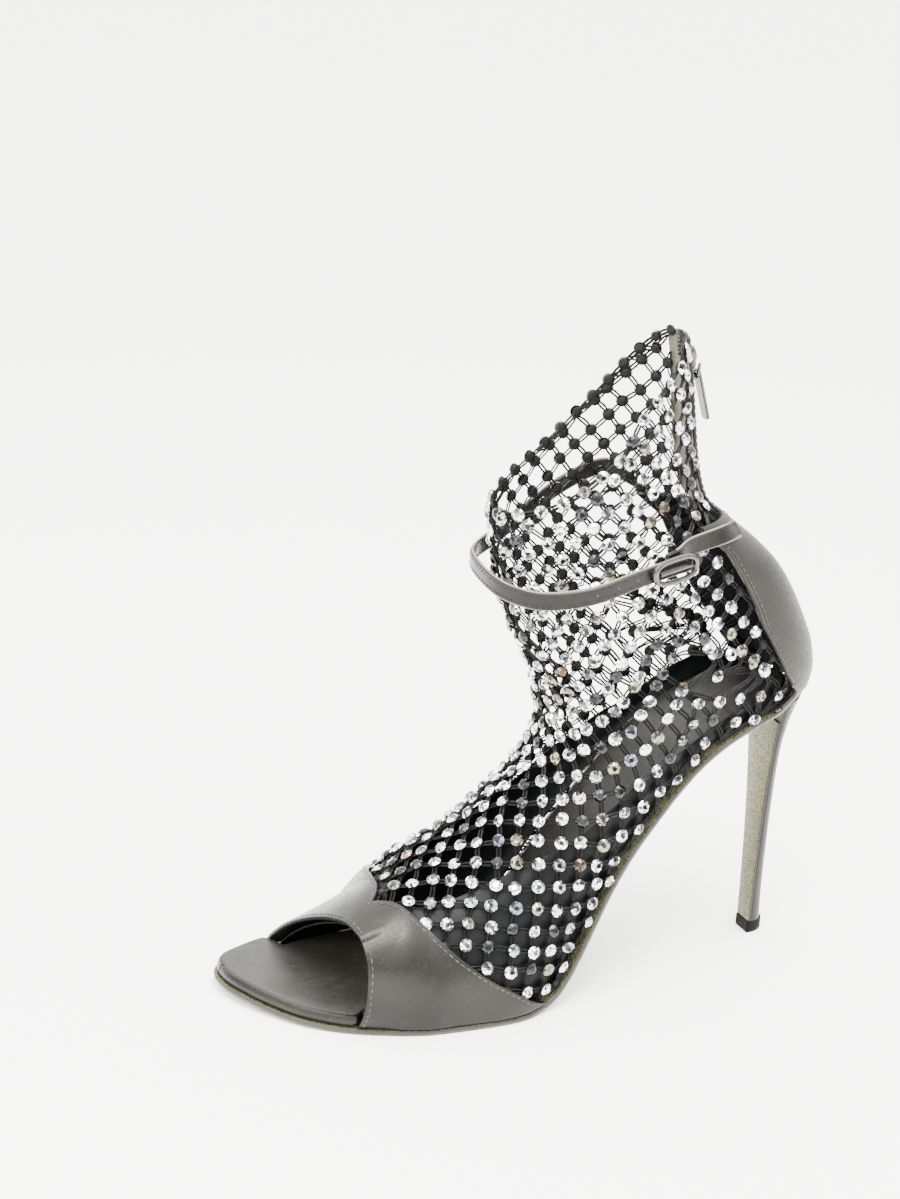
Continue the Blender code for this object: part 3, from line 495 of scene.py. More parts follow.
def pewter_leather(name, tone, shade, grain=0.9, rough=(0.27, 0.43), wear=0.35):
    """Calf leather with a pewter foil finish: fine pebbled grain, cloudy tone, a soft metal sheen.

    The real grain is about 0.5 mm across; it is drawn at 0.9 mm, the finest that shows.
    """
    made, tree, place = start(name, Metallic=0.75, Coat_Weight=0.1, Coat_Roughness=0.35)
    cloud = add(tree, "ShaderNodeTexNoise", {"Vector": place, "Scale": per_mm(22), "Detail": 2.0,
                                             "Roughness": 0.4}).outputs[0]
    fleck = add(tree, "ShaderNodeTexNoise", {"Vector": place, "Scale": per_mm(1.3),
                                             "Detail": 2.0}).outputs[0]
    cells = add(tree, "ShaderNodeTexVoronoi", {"Vector": place, "Scale": per_mm(grain)})
    tint = tinted(tree, cloud, shade, tone, (0.35, 0.68))
    worn = tinted(tree, fleck, tint, "#45433c", (0.66, 0.8), wear)
    return coated(made, worn, (fleck, 0.3, 0.7, *rough), (cloud, 0.2, 0.5),
                  (cells.outputs["Distance"], 0.35, 0.12))


def footbed_leather():
    """Smooth grey footbed leather, with pale scuffs where toes and heel have rubbed it."""
    made, tree, place = start("footbed_leather", Metallic=0.3)
    cloud = add(tree, "ShaderNodeTexNoise", {"Vector": place, "Scale": per_mm(18), "Detail": 5.0})
    long = add(tree, "ShaderNodeMapping", {"Vector": place, "Scale": (1.0, 3.2, 2.0)})
    scratch = add(tree, "ShaderNodeTexNoise", {"Vector": long.outputs[0], "Scale": per_mm(7),
                                               "Detail": 6.0, "Roughness": 0.75}).outputs[0]
    cells = add(tree, "ShaderNodeTexVoronoi", {"Vector": place, "Scale": per_mm(0.9)})
    tint = tinted(tree, cloud.outputs[0], "#20201b", "#2b2a25", (0.35, 0.65))
    scuffed = tinted(tree, scratch, tint, "#6e6b5e", (0.66, 0.74), 0.75)
    return coated(made, scuffed, (scratch, 0.3, 0.7, 0.38, 0.6),
                  (cells.outputs["Distance"], 0.25, 0.1))


def glitter_leather(name, tone, shade):
    """Leather coated with fine glitter: each flake tilts its own way, so points sparkle.

    The real flakes are about 0.2 mm; they are drawn 0.55 mm across so that they show.
    """
    made, tree, place = start(name, Metallic=0.6)
    flakes = add(tree, "ShaderNodeTexVoronoi", {"Vector": place, "Scale": per_mm(0.55)})
    pick = add(tree, "ShaderNodeSeparateColor", {"Color": flakes.outputs["Color"]}).outputs
    return coated(made, tinted(tree, pick[0], shade, tone), (pick[1], 0, 1, 0.2, 0.65),
                  (pick[2], 0.5, 0.15))


def black_lining():
    """Black knitted lining with a satin face over a fine mesh weave.

    The real weave is about 0.3 mm; it is drawn at 0.8 mm so that it shows.
    """
    made, tree, place = start("satin_mesh_lining", Specular_IOR_Level=0.1)
    weave = add(tree, "ShaderNodeTexVoronoi", {"Vector": place, "Scale": per_mm(0.8)})
    cloud = add(tree, "ShaderNodeTexNoise", {"Vector": place, "Scale": per_mm(10),
                                             "Detail": 3.0}).outputs[0]
    return coated(made, tinted(tree, cloud, "#060606", "#101112"), (cloud, 0.3, 0.7, 0.32, 0.5),
                  (weave.outputs["Distance"], 0.3, 0.12))


def spun_thread(name, tone, shade):
    """Spun polyester thread: slanting fibres, drawn 4.2 mm apart, that catch a little light."""
    made, tree, place = start(name, Specular_IOR_Level=0.14)
    fibre = add(tree, "ShaderNodeTexWave", {"Vector": place, "Scale": per_mm(4.2),
                                            "Distortion": 3.0, "Detail": 2.0},
                bands_direction="DIAGONAL").outputs[1]
    return coated(made, tinted(tree, fibre, shade, tone), (fibre, 0, 1, 0.62, 0.47),
                  (fibre, 0.4, 0.1))


def cut_crystal():
    """Foil-backed cut glass: hard bright facets in each stone's own tint, some of them dark.

    The attribute stone is the tint; a second face attribute gives how dark each facet is painted,
    a painted reflection of dark surroundings; a faint noise in the glass keeps facets of one stone
    from being equal.
    """
    made, tree, place = start("foil_backed_crystal", Metallic=0.9, Coat_Weight=0.3,
                              Coat_Roughness=0.03)
    stone = add(tree, "ShaderNodeAttribute", attribute_name="stone").outputs["Color"]
    painted_reflection = add(tree, "ShaderNodeAttribute", attribute_name="painted_reflection").outputs["Fac"]
    flaw = add(tree, "ShaderNodeTexNoise", {"Vector": place, "Scale": per_mm(2.2)}).outputs[0]
    uneven = add(tree, "ShaderNodeMapRange", {"Value": flaw, "From Min": 0.3, "From Max": 0.7,
                                              "To Min": -0.12, "To Max": 0.12}).outputs["Result"]
    # depth is how dark a facet's painted reflection is, made a little uneven by the noise; at 1 the
    # facet is painted near-black
    depth = add(tree, "ShaderNodeMath", {0: painted_reflection, 1: uneven}, operation="ADD", use_clamp=True)
    return coated(made, tinted(tree, depth.outputs[0], stone, "#0a0b0d"),
                  (flaw, 0.3, 0.7, 0.04, 0.13))


def nickel_plate():
    """Polished nickel-plated zinc: a clear mirror with faint hairlines from wear."""
    made, tree, place = start("polished_nickel", Metallic=1.0)
    hair = add(tree, "ShaderNodeMapping", {"Vector": place, "Scale": (1.0, 6.0, 1.0)})
    lines = add(tree, "ShaderNodeTexNoise", {"Vector": hair.outputs[0], "Scale": per_mm(1.5),
                                             "Detail": 4.0}).outputs[0]
    return coated(made, tinted(tree, lines, "#383733", "#6b6964"), (lines, 0.3, 0.7, 0.12, 0.3),
                  (lines, 0.12, 0.05))


def moulded_rubber():
    """Moulded black rubber of the top lift: matt, with the fine pits of the mould."""
    made, tree, place = start("moulded_rubber", Specular_IOR_Level=0.08)
    pits = add(tree, "ShaderNodeTexNoise", {"Vector": place, "Scale": per_mm(0.8),
                                            "Detail": 3.0}).outputs[0]
    return coated(made, tinted(tree, pits, "#030303", "#0b0a09"), (pits, 0.3, 0.7, 0.5, 0.75),
                  (pits, 0.4, 0.15))


def woven_tape(name, tone, shade):
    """Woven cotton tape: ribs across it, drawn 5 mm apart, with a dry, slightly uneven dye."""
    made, tree, place = start(name, Sheen_Weight=0.3)
    ribs = add(tree, "ShaderNodeTexWave", {"Vector": place, "Scale": per_mm(5), "Distortion": 1.0},
               bands_direction="Z").outputs[1]
    cloud = add(tree, "ShaderNodeTexNoise", {"Vector": place, "Scale": per_mm(6), "Detail": 3.0})
    return coated(made, tinted(tree, cloud.outputs[0], shade, tone), (ribs, 0, 1, 0.6, 0.8),
                  (ribs, 0.4, 0.15))


def edge_paint(name, tone, shade):
    """Painted leather edge: a thick satin lacquer, wavy where the brush has run."""
    made, tree, place = start(name)
    wave = add(tree, "ShaderNodeTexNoise", {"Vector": place, "Scale": per_mm(4),
                                            "Detail": 3.0}).outputs[0]
    return coated(made, tinted(tree, wave, shade, tone), (wave, 0.3, 0.7, 0.35, 0.55),
                  (wave, 0.2, 0.2))


def studio_paper():
    """White seamless studio paper: matt, with a barely visible fibre."""
    made, tree, place = start("studio_paper")
    fibre = add(tree, "ShaderNodeTexNoise", {"Vector": place, "Scale": per_mm(3),
                                             "Detail": 3.0}).outputs[0]
    return coated(made, tinted(tree, fibre, "#f3f3f1", "#f8f8f6"), (fibre, 0.3, 0.7, 0.85, 0.95))


# ---------------------------------------------------------------- making meshes

def piece(name, points, faces, finishes, body="shoe", smooth=True, closed=True):
    """Mesh object from points in millimetres and faces, riding on a body of the part.

    A closed skin gets its faces turned outwards; an open sheet keeps the order it was given.
    """
    mesh = bpy.data.meshes.new(name)
    mesh.from_pydata((np.asarray(points, float).reshape(-1, 3) * MM).tolist(), [], faces)
    for finish in finishes if isinstance(finishes, (list, tuple)) else [finishes]:
        mesh.materials.append(finish)
    if closed:
        work = bmesh.new()
        work.from_mesh(mesh)
        bmesh.ops.recalc_face_normals(work, faces=work.faces)
        work.to_mesh(mesh)
        work.free()
    if smooth:
        mesh.shade_smooth()
        mesh.set_sharp_from_angle(angle=math.radians(38))
    made = bpy.data.objects.new(name, mesh)
    bpy.context.scene.collection.objects.link(made)
    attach(made, body)
    return made


def face_grid(rows, columns, wrap=False):
    """Quads of a grid of points as one array, closed round the columns if wrap is set."""
    i = np.arange(rows - 1)[:, None]
    j = np.arange(columns if wrap else columns - 1)[None, :]
    k = (j + 1) % columns
    return np.stack([i * columns + j, i * columns + k, (i + 1) * columns + k,
                     (i + 1) * columns + j], axis=-1).reshape(-1, 4)


def lofted(name, rings, finishes, body="shoe"):
    """Skin through rings of equal point count, in order along a path, with both ends capped."""
    rings = np.asarray(rings)
    count, around = rings.shape[:2]
    faces = face_grid(count, around, wrap=True).tolist()
    faces += [list(range(around))[::-1], list(range((count - 1) * around, count * around))]
    return piece(name, rings, faces, finishes, body)


def skin(name, grid, wall, finishes, edge=0.35, skip=None):
    """Leather or cloth cut to a grid of points, thickened outwards, its cut edges rounded.

    The first finish is the outer side and the edge, and the last one the side towards the foot.
    """
    rows, columns = grid.shape[:2]
    faces = face_grid(rows, columns)
    if skip is not None:
        faces = faces[~skip.reshape(-1)]
    used = np.unique(faces)
    order = np.zeros(rows * columns, int)
    order[used] = np.arange(len(used))
    made = piece(name, grid.reshape(-1, 3)[used], order[faces].tolist(), finishes, closed=False)
    weld = made.modifiers.new("Weld", "WELD")
    weld.merge_threshold = 0.02 * MM
    solid = made.modifiers.new("Wall", "SOLIDIFY")
    solid.thickness = wall * MM
    solid.offset = 1
    solid.material_offset = len(finishes) - 1
    bevel = made.modifiers.new("Edge", "BEVEL")
    bevel.width = edge * MM
    bevel.segments = 2
    bevel.limit_method = "ANGLE"
    bevel.angle_limit = math.radians(50)
    return made


def scattered(name, shape, faces, places, frames, finish, smooth=True):
    """Many copies of one small shape: each is the shape's points times a frame plus a place."""
    points = places[:, None, :] + np.einsum("kn,inm->ikm", shape, frames)
    every = []
    for size in sorted({len(face) for face in faces}):
        own = np.array([face for face in faces if len(face) == size])
        shifted = own[None] + (np.arange(len(places)) * len(shape))[:, None, None]
        every += shifted.reshape(-1, size).tolist()
    return piece(name, points, every, finish, smooth=smooth)


def tubes(name, paths, normals, radius, finish, sides=4):
    """Many equal tubes: paths is tubes by points by 3, with a normal at each point.

    Each ring is centre + radius (cos t * side + sin t * normal).
    """
    ahead = unit(np.gradient(paths, axis=1))
    side = unit(np.cross(ahead, normals))
    up = np.cross(side, ahead)
    t = np.arange(sides) * 2 * np.pi / sides
    ring = radius * (np.cos(t)[:, None] * side[:, :, None] + np.sin(t)[:, None] * up[:, :, None])
    points = paths[:, :, None] + ring
    count, length = paths.shape[:2]
    quads = face_grid(length, sides, wrap=True)
    ends = np.array([np.arange(sides)[::-1], (length - 1) * sides + np.arange(sides)])
    shift = (np.arange(count) * length * sides)[:, None, None]
    faces = (quads[None] + shift).reshape(-1, 4).tolist()
    faces += (ends[None] + shift).reshape(-1, sides).tolist()
    return piece(name, points, faces, finish)


def surface_frame(row, across, height):
    """Points above the upper with the outward normal and the way to higher rows."""
    point = raised(row, across, height)
    out = unit(raised(row, across, height + 1.0) - point)
    low, high = rows_about(row)
    return point, out, unit(upper(high, across) - upper(low, across))


def stitches(name, path, normals, finish, pitch=2.6, dash=1.8, thick=0.42):
    """A row of sewn dashes along a path: each is a short capsule laid on the surface."""
    lengths = lengths_along(path)
    count = max(int(lengths[-1] / pitch), 1)
    at = (np.arange(count) + 0.5) * lengths[-1] / count
    place = sampled(at, lengths, path)
    ahead = unit(sampled(at + dash / 2, lengths, path) - sampled(at - dash / 2, lengths, path))
    out = unit(sampled(at, lengths, normals))
    side = unit(np.cross(out, ahead))
    stops = np.array([-0.5, -0.38, 0.0, 0.38, 0.5]) * dash
    sizes = np.array([0.35, 0.9, 1.0, 0.9, 0.35]) * thick / 2
    t = np.arange(6) * np.pi / 3
    shape = np.stack([np.repeat(stops, 6), np.outer(sizes, np.cos(t)).ravel(),
                      np.outer(sizes, np.sin(t)).ravel()], axis=-1)
    faces = face_grid(5, 6, wrap=True).tolist() + [list(range(6)), list(range(24, 30))]
    frames = np.stack([ahead, side, np.cross(ahead, side)], axis=1)
    return scattered(name, shape, faces, place, frames, finish)


# ---------------------------------------------------------------- the crystal net

KNOT_PITCH = 10.8        # mm round the leg between knots of one row
ROW_PITCH = 5.4          # mm along the foot and leg between rows
ANKLE_BEND = (130.0, 118.0)  # x and z of the point in front of the ankle that the net bends about
BEND_RADIUS = 60.0       # distance from it at which rows in the bend are ROW_PITCH apart
FOOT_SLOPE = math.radians(52)  # turn of the rows from the shaft to the foot
THREAD = 0.38            # radius of one of the two strands between knots
STRAND_APART = 0.62      # half the widest gap between two strands
KNOT_RADIUS = 2.05
STONE_RADIUS = 2.35
RIM_AT = 26.85           # row of the knotted rim
RIM_PITCH = 7.6          # mm between its knots
KNOT_HEIGHT = 1.9
UNEVEN = 0.45            # spread of the knots about their even places, mm
RIM_CLEAR = 0.25         # rows between the last knots of the lattice and the rim
NET_FOOT = 0.985         # share across at which the net ends at the sole
UNDER_COUNTER = 0.06     # the net reaches this share behind the counter's edge
STONE_FOOT = 0.975       # share across of the last stones above the sole
STONE_SIT = 0.25         # girdle of a stone above the net's outer face
OFF_VAMP = 0.16          # rows between the vamp's edge and the first stones
OFF_COUNTER = 0.022      # share across between the last stones and the counter's edge
# Tints of the stones, clear, smoky, black and tinged, each with its share of all stones, and
# the painted reflection: how dark a facet is painted, with the share of facets
STONE_TINTS = {"#f6f7f8": 0.48, "#c4c6c9": 0.2, "#2c2c2e": 0.12, "#8f8870": 0.07,
               "#54422f": 0.015, "#7a7d88": 0.025, "#8a877b": 0.09}
PAINTED_REFLECTION_LEVELS = {0: 0.5, 0.35: 0.2, 0.75: 0.16, 1.0: 0.14}
KNOTS_ON_STRIP = 5.5     # the net ends this far over the zip strip from its inner edge


def arc_tables(side):
    """Two lengths over one side of the upper, on a grid of rows and shares across.

    along is the height over the ankle's bend in the shaft, turns about the bend as
    -BEND_RADIUS times the angle, and then runs down the foot's axis. around sums the steps
    from the ridge, each less its part along that way.
    """
    rows = np.linspace(0, RIM_ROW, 6 * RIM_ROW + 1)
    shares = np.linspace(0, 1, 61)
    grid = upper(rows[:, None], side * np.maximum(shares, 1e-6)[None, :])
    back, high = ANKLE_BEND[0] - grid[..., 0], grid[..., 2] - ANKLE_BEND[1]
    angle = np.clip(np.arctan2(-high, back), 0, FOOT_SLOPE)
    along = np.where(high > 0, high, -BEND_RADIUS * angle)
    foot = back * math.sin(FOOT_SLOPE) + high * math.cos(FOOT_SLOPE)
    in_foot = (high < 0) & (np.arctan2(-high, back) > FOOT_SLOPE)
    along = np.where(in_foot, foot - BEND_RADIUS * FOOT_SLOPE, along)
    way = np.stack([-np.sin(angle), 0 * angle, np.cos(angle)], axis=-1)
    step = np.diff(grid, axis=1)
    way = (way[:, 1:] + way[:, :-1]) / 2
    step = step - (step * way).sum(axis=-1, keepdims=True) * way
    around = np.cumsum(np.linalg.norm(step, axis=-1), axis=1)
    return rows, shares, np.hstack([np.zeros((len(rows), 1)), around]), along


def crossing(values, keys, target):
    """Key at which each rising column of values reaches its target, held inside the keys."""
    i = np.clip((values < target).sum(axis=0) - 1, 0, len(keys) - 2)
    column = np.arange(values.shape[1])
    low, high = values[i, column], values[i + 1, column]
    part = np.clip((target - low) / np.maximum(high - low, 1e-6), 0, 1)
    return keys[i] + (keys[i + 1] - keys[i]) * part


def on_upper(around, along, side):
    """Row and share of points given by millimetres round the leg and along it, by iteration."""
    rows, shares, girth, length = arc_tables(side)
    share = np.full(len(around), 0.5)
    row = share
    for _ in range(24):
        at = share * (len(shares) - 1)
        j = np.clip(at.astype(int), 0, len(shares) - 2)
        columns = length[:, j] * (1 - (at - j)) + length[:, j + 1] * (at - j)
        row = crossing(columns, rows, along)
        at = row / RIM_ROW * (len(rows) - 1)
        i = np.clip(at.astype(int), 0, len(rows) - 2)
        part = (at - i)[:, None]
        found = crossing((girth[i] * (1 - part) + girth[i + 1] * part).T, shares, around)
        share = 0.5 * share + 0.5 * found
    return row, share


def girths(row):
    """Half girth at each of many rows."""
    table = [half_girth(at) for at in range(RIM_ROW + 1)]
    return np.interp(row, np.arange(RIM_ROW + 1), table)


def net_layout():
    """Knots in a diamond lattice over the upper, and the pairs of knots joined by threads."""
    rng = np.random.default_rng(SEED)
    levels, columns = np.arange(-40, 28), np.arange(-17, 18)
    k, j = np.meshgrid(levels, columns, indexing="ij")
    around = (j + 0.5 * (k % 2)) * KNOT_PITCH + rng.normal(0, UNEVEN, k.shape)
    along = k * ROW_PITCH + rng.normal(0, UNEVEN, k.shape)
    row, share = np.zeros(k.shape), np.zeros(k.shape)
    for side in (1, -1):
        own = around * side >= 0
        row[own], share[own] = on_upper(np.abs(around[own]), along[own], side)
    start = smooth(share, NET_START["across"], NET_START["row"])
    at_counter = (row > COUNTER_EDGE["row"][0]) & (row < COUNTER_TOP_ROW)
    behind = at_counter & (share > counter_front(row) + UNDER_COUNTER)
    zip_share = 1 - (ZIP_OPENING / 2 + KNOTS_ON_STRIP) / girths(row)
    at_zip = (row >= COUNTER_TOP_ROW) & (share > zip_share)
    inside = (row > start) & (row < RIM_AT - RIM_CLEAR) & (share < NET_FOOT) & ~behind & ~at_zip
    share = np.where(at_zip, zip_share, share)
    across = share * np.where(around < 0, -1, 1)

    number = np.arange(k.size).reshape(k.shape)
    even = (k[:-1] % 2) == 0
    straight = np.stack([number[:-1], number[1:]], axis=-1)
    shift = np.where(even, -1, 1)
    other = np.clip(j[:-1] + shift - columns[0], 0, len(columns) - 1)
    slanted = np.stack([number[:-1], np.take_along_axis(number[1:], other, axis=1)], axis=-1)
    pairs = np.concatenate([straight.reshape(-1, 2), slanted.reshape(-1, 2)])
    kept = inside.ravel()
    pairs = pairs[kept[pairs].any(axis=1)]
    return np.minimum(row.ravel(), RIM_AT), across.ravel(), kept, pairs


def strand_paths(row_a, across_a, row_b, across_b, steps=6):
    """Two strands from knot a to knot b: they part between the knots as sin(pi t)."""
    t = np.linspace(0, 1, steps)
    row = row_a[:, None] * (1 - t) + row_b[:, None] * t
    across = across_a[:, None] * (1 - t) + across_b[:, None] * t
    line, out, _ = surface_frame(row, across, -NET_WALL / 2)
    ahead = unit(np.gradient(line, axis=1))
    side = np.cross(ahead, out) * (STRAND_APART * np.sin(np.pi * t) ** 0.6)[:, None]
    return np.concatenate([line + side, line - side]), np.concatenate([out, out])


def lump(radius, height, sides=9):
    """Points and faces of a low round knot: rings of sides points with a cap at each end."""
    t = np.arange(sides) * 2 * np.pi / sides
    levels = ((0.55, -0.5), (1.0, -0.15), (0.95, 0.25), (0.5, 0.5))
    shape = np.concatenate([
        np.stack([radius * r * np.cos(t), radius * r * np.sin(t), np.full(sides, height * z)], -1)
        for r, z in levels
    ])
    faces = face_grid(4, sides, wrap=True).tolist()
    return shape, faces + [list(range(sides)), list(range(3 * sides, 4 * sides))]


def stone_shape():
    """Points and faces of a round cut stone.

    A ring of 16 at the girdle, 8 half way up the crown and 8 round the flat table on top.
    """
    def ring(count, radius, height):
        t = np.arange(count) * 2 * np.pi / count
        return np.stack([radius * np.cos(t), radius * np.sin(t), np.full(count, height)], axis=-1)

    r = STONE_RADIUS
    shape = np.concatenate([ring(16, r, 0), ring(16, r, 0.45), ring(8, 0.62 * r, 1.25),
                            ring(8, 0.38 * r, 1.45)])
    i = np.arange(8)
    girdle = face_grid(2, 16, wrap=True).tolist()
    g, m, top = 16 + 2 * i, 32 + i, 40 + i
    before, after, onward = 16 + (2 * i - 1) % 16, 16 + (2 * i + 1) % 16, 32 + (i + 1) % 8
    lower = np.concatenate([np.stack([m, before, g], -1), np.stack([m, g, after], -1),
                            np.stack([m, after, onward], -1)]).tolist()
    crown = np.stack([m, onward, 40 + (i + 1) % 8, top], axis=-1).tolist()
    faces = girdle + lower + crown + [list(range(16))[::-1], list(range(40, 48))]
    return shape, faces


def stones(name, place, out, up_way, rng, finish):
    """Cut stones on the knots, each tilted a little, with tints and painted reflections (dark
    facets) drawn by chance.
    """
    count = len(place)
    shape, faces = stone_shape()
    tilt = unit(out + rng.normal(0, 0.13, (count, 3)))
    turn = rng.normal(0, 0.6, count)[:, None]
    first = unit(up_way - (up_way * tilt).sum(1, keepdims=True) * tilt)
    second = np.cross(tilt, first)
    x_way = np.cos(turn) * first + np.sin(turn) * second
    frames = np.stack([x_way, np.cross(tilt, x_way), tilt], axis=1)
    made = scattered(name, shape, faces, place, frames, finish, smooth=False)

    kind = rng.choice(len(STONE_TINTS), count, p=list(STONE_TINTS.values()))
    tint = np.array([linear(code) for code in STONE_TINTS])[kind]
    # Painted reflections: most stones get a dark table, and many get a dark wedge on one side of
    # the crown
    table_reflections = rng.choice([0.95, 0.2], count, p=[0.72, 0.28])
    wedge_reflections = rng.choice([0.95, 0.0], count, p=[0.66, 0.34])
    centre = np.array([shape[face].mean(axis=0) for face in faces])
    angle = np.abs(np.arctan2(centre[:, 1], centre[:, 0]))
    sizes = np.array([len(face) for face in faces])
    dark, colour = [], []
    for size in sorted(set(sizes)):
        own = np.flatnonzero(sizes == size)
        # Each facet's painted reflection darkness is drawn by chance from the levels
        level = rng.choice(list(PAINTED_REFLECTION_LEVELS), (count, len(own)), p=list(PAINTED_REFLECTION_LEVELS.values()))
        wedge_reflection = (angle[own] < 0.62) & (centre[own, 2] > 0.5)
        level = np.maximum(level, wedge_reflection[None] * wedge_reflections[:, None])
        level = np.maximum(level, (centre[own, 2] > 1.4)[None] * table_reflections[:, None])
        # The girdle and the faces below it get a middle painted darkness
        level[:, centre[own, 2] < 0.3] = 0.6
        dark.append(level.ravel())
        colour.append(np.repeat(tint, len(own), axis=0))
    # Painted reflection darkness of each face, read by the crystal finish
    painted_reflection = made.data.attributes.new("painted_reflection", "FLOAT", "FACE")
    painted_reflection.data.foreach_set("value", np.concatenate(dark).astype(np.float32))
    stone = made.data.attributes.new("stone", "FLOAT_COLOR", "FACE")
    stone.data.foreach_set("color", np.concatenate(colour).astype(np.float32).ravel())
    return made


def crystal_net(finishes):
    """The net: double strands between round knots, a knotted rim, and a stone on each knot."""
    rng = np.random.default_rng(SEED + 1)
    row, across, kept, pairs = net_layout()
    a, b = pairs[:, 0], pairs[:, 1]
    paths, out = strand_paths(row[a], across[a], row[b], across[b])
    half = len(paths) // 2
    for name, own in (("net_strands_one", slice(0, half)), ("net_strands_two", slice(half, None))):
        tubes(name, paths[own], out[own], THREAD, finishes["thread"])

    limit = 1 - (ZIP_OPENING / 2 + 0.5 * TAPE_WIDTH) / half_girth(RIM_AT)
    sample = np.linspace(-limit, limit, 400)
    rim = upper(np.full(400, RIM_AT), sample)
    lengths = lengths_along(rim)
    count = int(lengths[-1] / RIM_PITCH)
    rim_across = np.interp(np.linspace(0, lengths[-1], count), lengths, sample)
    rim_row = np.full(count, RIM_AT)
    paths, out = strand_paths(rim_row[:-1], rim_across[:-1], rim_row[1:], rim_across[1:])
    tubes("net_rim_strands", paths, out, THREAD * 1.25, finishes["thread"])

    row, across = np.append(row[kept], rim_row), np.append(across[kept], rim_across)
    place, out, along = surface_frame(row, across, -NET_WALL / 2)
    shape, faces = lump(KNOT_RADIUS, KNOT_HEIGHT)
    frames = np.stack([unit(np.cross(along, out)), along, out], axis=1)
    size = rng.uniform(0.88, 1.08, len(place))[:, None, None]
    knots = scattered("net_knots", shape, faces, place, frames * size, finishes["thread"])
    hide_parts("net_upper")

    share = np.abs(across)
    past_vamp = row > vamp_rear(share) + OFF_VAMP
    at_counter = (row > COUNTER_EDGE["row"][0]) & (row < COUNTER_TOP_ROW + 0.2)
    on_counter = at_counter & (share > counter_front(row) - OFF_COUNTER)
    strip = 1 - (ZIP_OPENING / 2 + TAPE_WIDTH + STONE_RADIUS) / girths(row)
    on_strip = (row >= COUNTER_TOP_ROW) & (share > strip)
    shown = past_vamp & ~on_counter & ~on_strip & (share < STONE_FOOT)
    place, out, _ = surface_frame(row[shown], across[shown], STONE_SIT)
    up_way = np.tile([0.25, 0.0, 1.0], (len(place), 1))
    stones("net_crystals", place, out, up_way, rng, finishes["crystal"])


# ---------------------------------------------------------------- leather, lining and sole

def row_step(row, across):
    """Millimetres of surface for one row at a place on the upper."""
    low, high = rows_about(row)
    return np.linalg.norm(upper(high, across) - upper(low, across), axis=-1) / (high - low)


def vamp(finishes):
    """Toe band: a smooth sheet from the peep opening to its slanting rear edge, softly creased.

    Two low folds run back from the corners of the opening, each a Gaussian across its line.
    """
    across = np.linspace(-1, 1, 141)
    row = vamp_rear(np.abs(across)) * np.linspace(0, 1, 44)[:, None]
    across = np.broadcast_to(across, row.shape)
    span = np.clip(row / np.maximum(vamp_rear(np.abs(across)), 0.1), 0, 1)
    fold = 0.7 * np.exp(-(((across - 0.2 - 0.12 * span) / 0.035) ** 2)) * (1 - span) ** 2
    fold -= 0.5 * np.exp(-(((across - 0.27 - 0.12 * span) / 0.04) ** 2)) * (1 - span) ** 2
    fold += 0.25 * np.sin(9 * across + 3 * row) * np.sin(np.pi * span)
    height = LEATHER_LIFT + np.clip(fold, -0.1, 1)
    grid = above_sole(raised(row, across * FOOT_SHARE, height), 3 * GAP)
    band = skin("vamp_band", grid, VAMP_WALL, [finishes["leather"], finishes["lining"]])
    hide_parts("vamp")

    share = np.linspace(-0.97, 0.97, 500)
    top = LEATHER_LIFT + VAMP_WALL + 0.1
    front_row = STITCH_INSET / row_step(np.full(500, 0.1), share)
    rear_row = vamp_rear(np.abs(share))
    rear_row = rear_row - STITCH_INSET / row_step(rear_row, share)
    for name, at in (("vamp_front_stitches", front_row), ("vamp_rear_stitches", rear_row)):
        path, out, _ = surface_frame(at, share * FOOT_SHARE, top)
        stitches(name, path, out, finishes["stitch"])


def lining(finishes):
    """Low inner lining: a satin sheet whose wrinkles run lengthwise, as sines across it."""
    rows = np.concatenate([[0.12, 0.5], np.linspace(0.95, LINING_TOP["row"][-1], 110)])
    top = smooth(rows, LINING_TOP["row"], LINING_TOP["across"])
    step = np.linspace(0, 1, 30)
    outer = top[:, None] + (FOOT_SHARE - top)[:, None] * step
    across = np.hstack([-outer[:, ::-1], np.maximum(outer, 1e-6)])
    row = np.broadcast_to(rows[:, None], across.shape)
    wave = np.sin(46 * across + 1.3 * np.sin(0.9 * row))
    wave = wave * (0.6 + 0.4 * np.sin(1.7 * row + 9 * across))
    wave *= 0.35 * np.clip((row - 3) / 2, 0, 1) * np.clip((13.4 - row) / 2, 0, 1)
    depth = -NET_WALL - 2 * GAP - LINING_WALL - 0.35
    grid = above_sole(raised(row, across, depth + wave), 2 * GAP)
    skip = np.zeros((len(rows) - 1, across.shape[1] - 1), bool)
    skip[:, len(step) - 1] = True
    made = skin("lining_sheet", grid, LINING_WALL * 0.7, [finishes["lining"]], 0.15, skip)
    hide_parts("lining")


